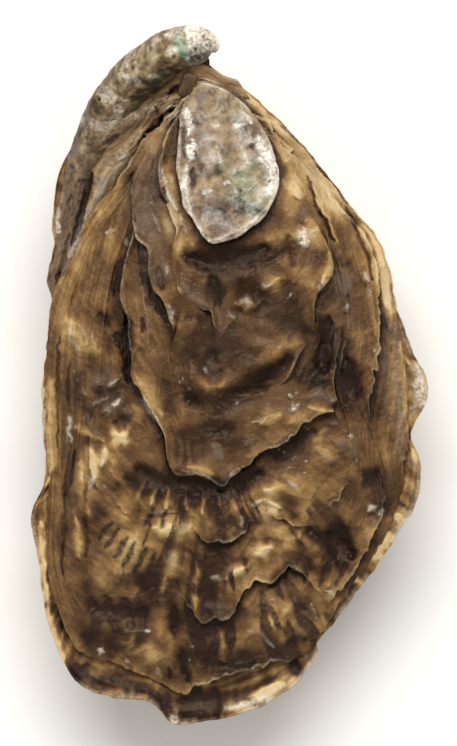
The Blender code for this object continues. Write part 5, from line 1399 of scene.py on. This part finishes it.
def stained_shell(name, stops, grey, pale, edge_colour, roughness, blotch_share=0.28):
    """Calcite under a worn horny skin: noise at four sizes moves the painted tone up and down a
    ramp from dark to pale, and the painted marks cover it with their colours."""
    material, tree, surface = new_material(name, roughness)
    place = add(tree, "ShaderNodeTexCoord", output="Object")
    growth = add(tree, "ShaderNodeUVMap", uv_map="growth")
    stains = add(tree, "ShaderNodeTexNoise", {
        "Vector": add(tree, "ShaderNodeMapping", {
            "Vector": growth, "Scale": (1 / STAIN_LENGTH, 1 / STAIN_WIDTH, 1)}),
        "Scale": 1.0, "Detail": 3.0, "Roughness": 0.5})
    clouds = add(tree, "ShaderNodeTexNoise", {
        "Vector": place, "Scale": 1 / (CLOUD_SIZE * MM), "Detail": 3.0, "Roughness": 0.55})
    blotches = add(tree, "ShaderNodeTexNoise", {
        "Vector": place, "Scale": 1 / (BLOTCH_SIZE * MM), "Detail": 5.0, "Roughness": 0.62})
    grain = add(tree, "ShaderNodeTexNoise", {
        "Vector": place, "Scale": 1 / (GRAIN_SIZE * MM), "Detail": 3.0, "Roughness": 0.6})

    fibre = add(tree, "ShaderNodeAttribute", output="Fac", attribute_name="fibre")
    amount = add(tree, "ShaderNodeMath", {0: fibre, 1: 0.2, 2: 0.06}, operation="MULTIPLY_ADD")
    painted = add(tree, "ShaderNodeAttribute", output="Fac", attribute_name="tone")
    shares = CLOUD_SHARE + blotch_share + GRAIN_SHARE
    value = add(tree, "ShaderNodeMath", {0: painted, 1: 0.95, 2: MIDDLE_TONE - 0.5 * shares},
                operation="MULTIPLY_ADD")
    stain = add(tree, "ShaderNodeMath", {0: stains, 1: 0.5}, operation="SUBTRACT")
    for pattern, share in ((stain, amount), (clouds, CLOUD_SHARE), (blotches, blotch_share),
                           (grain, GRAIN_SHARE)):
        value = add(tree, "ShaderNodeMath", {0: pattern, 1: share, 2: value},
                    operation="MULTIPLY_ADD")
    colour = add(tree, "ShaderNodeValToRGB", {"Fac": value})
    elements = colour.node.color_ramp.elements
    elements[0].position, elements[0].color = stops[0][0], linear(stops[0][1])
    elements[1].position, elements[1].color = stops[-1][0], linear(stops[-1][1])
    for position, stop_colour in stops[1:-1]:
        elements.new(position).color = linear(stop_colour)

    # Covers: the mark, its colour, its strength, and how far the speckle breaks it up.
    speckle = add(tree, "ShaderNodeMath", {0: blotches, 1: grain}, operation="ADD")
    # The dark purple cover is real folds in places and painted shade in slits and hollows in others.
    # The pale cover is worn calcite in places and painted highlights in others.
    for mark, cover_colour, strength, breaks in (
            ("grey", grey, 0.75, 2.0), ("green", COPPER_GREEN, 0.6, 2.0),
            ("purple_fold_and_shade", FOLD_PURPLE_AND_SHADE, 0.85, 1.5), ("pale_wear_and_glint", pale, 0.65, 3.6),
            ("edge", edge_colour, 0.8, 3.0)):
        here = add(tree, "ShaderNodeAttribute", output="Fac", attribute_name=mark)
        broken = add(tree, "ShaderNodeMath", {0: speckle, 1: breaks, 2: 1 - breaks},
                     operation="MULTIPLY_ADD")
        share = add(tree, "ShaderNodeMath", {0: here, 1: broken}, operation="MULTIPLY")
        share = add(tree, "ShaderNodeMath", {0: share, 1: strength}, operation="MULTIPLY",
                    use_clamp=True)
        colour = add(tree, "ShaderNodeMix", {
            "Factor": share, 6: colour, 7: linear(cover_colour)}, output=2, data_type="RGBA")
    tree.links.new(colour, surface.inputs["Base Color"])

    gloss = add(tree, "ShaderNodeMapRange", {
        "Value": blotches, "From Min": 0.3, "From Max": 0.7,
        "To Min": roughness - 0.24, "To Max": roughness + 0.14})
    tree.links.new(gloss, surface.inputs["Roughness"])
    lined = add(tree, "ShaderNodeMath", {0: stains, 1: amount}, operation="MULTIPLY")
    lines = add(tree, "ShaderNodeBump", {
        "Height": lined, "Strength": 0.6, "Distance": LINE_DEPTH * MM})
    pits = add(tree, "ShaderNodeBump", {
        "Height": grain, "Strength": 0.6, "Distance": PIT_DEPTH * MM, "Normal": lines})
    tree.links.new(pits, surface.inputs["Normal"])
    surface.inputs["IOR"].default_value = 1.5
    surface.inputs["Specular IOR Level"].default_value = 0.28
    surface.inputs["Specular Tint"].default_value = linear("ffdcb8")
    return material


def weathered_calcite():
    """The valves: layered calcite under a worn horny skin, brown where the skin is left and straw
    where it is rubbed off; the same ramp also carries painted shade and painted highlights. Dull
    and waxy by turns, so small lights run along folds and edges."""
    return stained_shell("stained_calcite_shell", [
        (0.0, "1a0f0a"), (0.24, "392518"), (0.46, "64482d"), (0.62, "87663f"), (0.80, "ac8b59"),
        (1.0, "d6ba8a")], grey="6b594c", pale="e6d8c2", edge_colour="cdb796", roughness=0.48)


def chalky_crown():
    """The first year's shell: bare chalky calcite, mauve-grey and cream, whose white crust takes
    the light softly, with a stain of green algae."""
    return stained_shell("chalky_first_year_shell", [
        (0.0, "2a2018"), (0.3, "65523f"), (0.5, "8d7659"), (0.7, "ab9577"), (1.0, "d8cbac")],
        grey="7c6c66", pale="fbf5ea", edge_colour="e8dcc8", roughness=0.46, blotch_share=0.8)


def pitted_beak_calcite():
    """The beak: old calcite, pitted and speckled olive-brown and cream, with a matt, stony look."""
    return stained_shell("pitted_beak_shell", [
        (0.0, "30241a"), (0.3, "645039"), (0.5, "846f50"), (0.7, "9f8d6c"), (1.0, "cfc2a2")],
        grey="7a6c5e", pale="f3ead9", edge_colour="b9a88c", roughness=0.52, blotch_share=0.7)


def dried_ligament():
    """The ligament: a dried horny protein, taupe to dark brown, with a dull, finely layered skin."""
    return stained_shell("horny_ligament", [
        (0.0, "1a110b"), (0.4, "4a3826"), (0.7, "6b563e"), (1.0, "8b7658")],
        grey="6c6058", pale="b9a88c", edge_colour="b9a88c", roughness=0.5)


def painted_table():
    """Matt white paint, whose broad even surface throws soft light back up at the shell."""
    material, _, surface = new_material("white_table_paint", 0.8)
    surface.inputs["Base Color"].default_value = linear("fefcf7")
    return material


# ---------------------------------------------------------------------------------------------
# The studio
# ---------------------------------------------------------------------------------------------


def studio():
    """A pale table, a soft window light from the hinge side, and a camera straight above."""
    scene = bpy.context.scene
    floor_mesh = bpy.data.meshes.new("table")
    floor_mesh.from_pydata([(-3, -3, 0), (3, -3, 0), (3, 3, 0), (-3, 3, 0)], [], [(0, 1, 2, 3)])
    floor = bpy.data.objects.new("table", floor_mesh)
    floor_mesh.materials.append(painted_table())
    scene.collection.objects.link(floor)

    world = bpy.data.worlds.new("room")
    world.use_nodes = True
    world.node_tree.nodes["Background"].inputs["Color"].default_value = (1, 0.99, 0.97, 1)
    world.node_tree.nodes["Background"].inputs["Strength"].default_value = 0.56
    scene.world = world

    lamp = bpy.data.lights.new("window", "AREA")
    lamp.shape = "RECTANGLE"
    lamp.size = 1.9
    lamp.size_y = 0.9
    lamp.energy = 37.0
    window = bpy.data.objects.new("window", lamp)
    window.location = (-0.10, 1.24, 1.50)
    window.rotation_euler = (math.radians(-40), 0, 0)
    scene.collection.objects.link(window)

    camera = bpy.data.cameras.new("camera")
    camera.sensor_width = 36
    camera.lens = 271.4
    camera.clip_start = 0.01
    holder = bpy.data.objects.new("camera", camera)
    holder.location = (-0.00008, 0.00016, 0.92)
    scene.collection.objects.link(holder)
    scene.camera = holder
    scene.view_settings.view_transform = "Standard"
    scene.view_settings.look = "None"


def finish_piece(piece, material):
    """Gives a piece its material, and says that it rides on the shell."""
    piece.data.materials.append(material)
    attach(piece, "root")


def main():
    """Builds every piece with its material, then the table, light and camera."""
    brown_shell, crown_shell, beak_shell = weathered_calcite(), chalky_crown(), pitted_beak_calcite()
    plates = [growth_plate(number) for number in range(len(PLATES))]
    for plate in plates:
        finish_piece(plate, crown_shell if plate.name == "crown" else brown_shell)
    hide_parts("upper_valve")
    cup = cupped_valve()
    finish_piece(cup, brown_shell)
    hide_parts("lower_valve")
    finish_piece(hinge_shelf(), brown_shell)
    finish_piece(beak(), beak_shell)
    pad = ligament_pad()
    finish_piece(pad, dried_ligament())
    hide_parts("ligament")
    studio()


main()
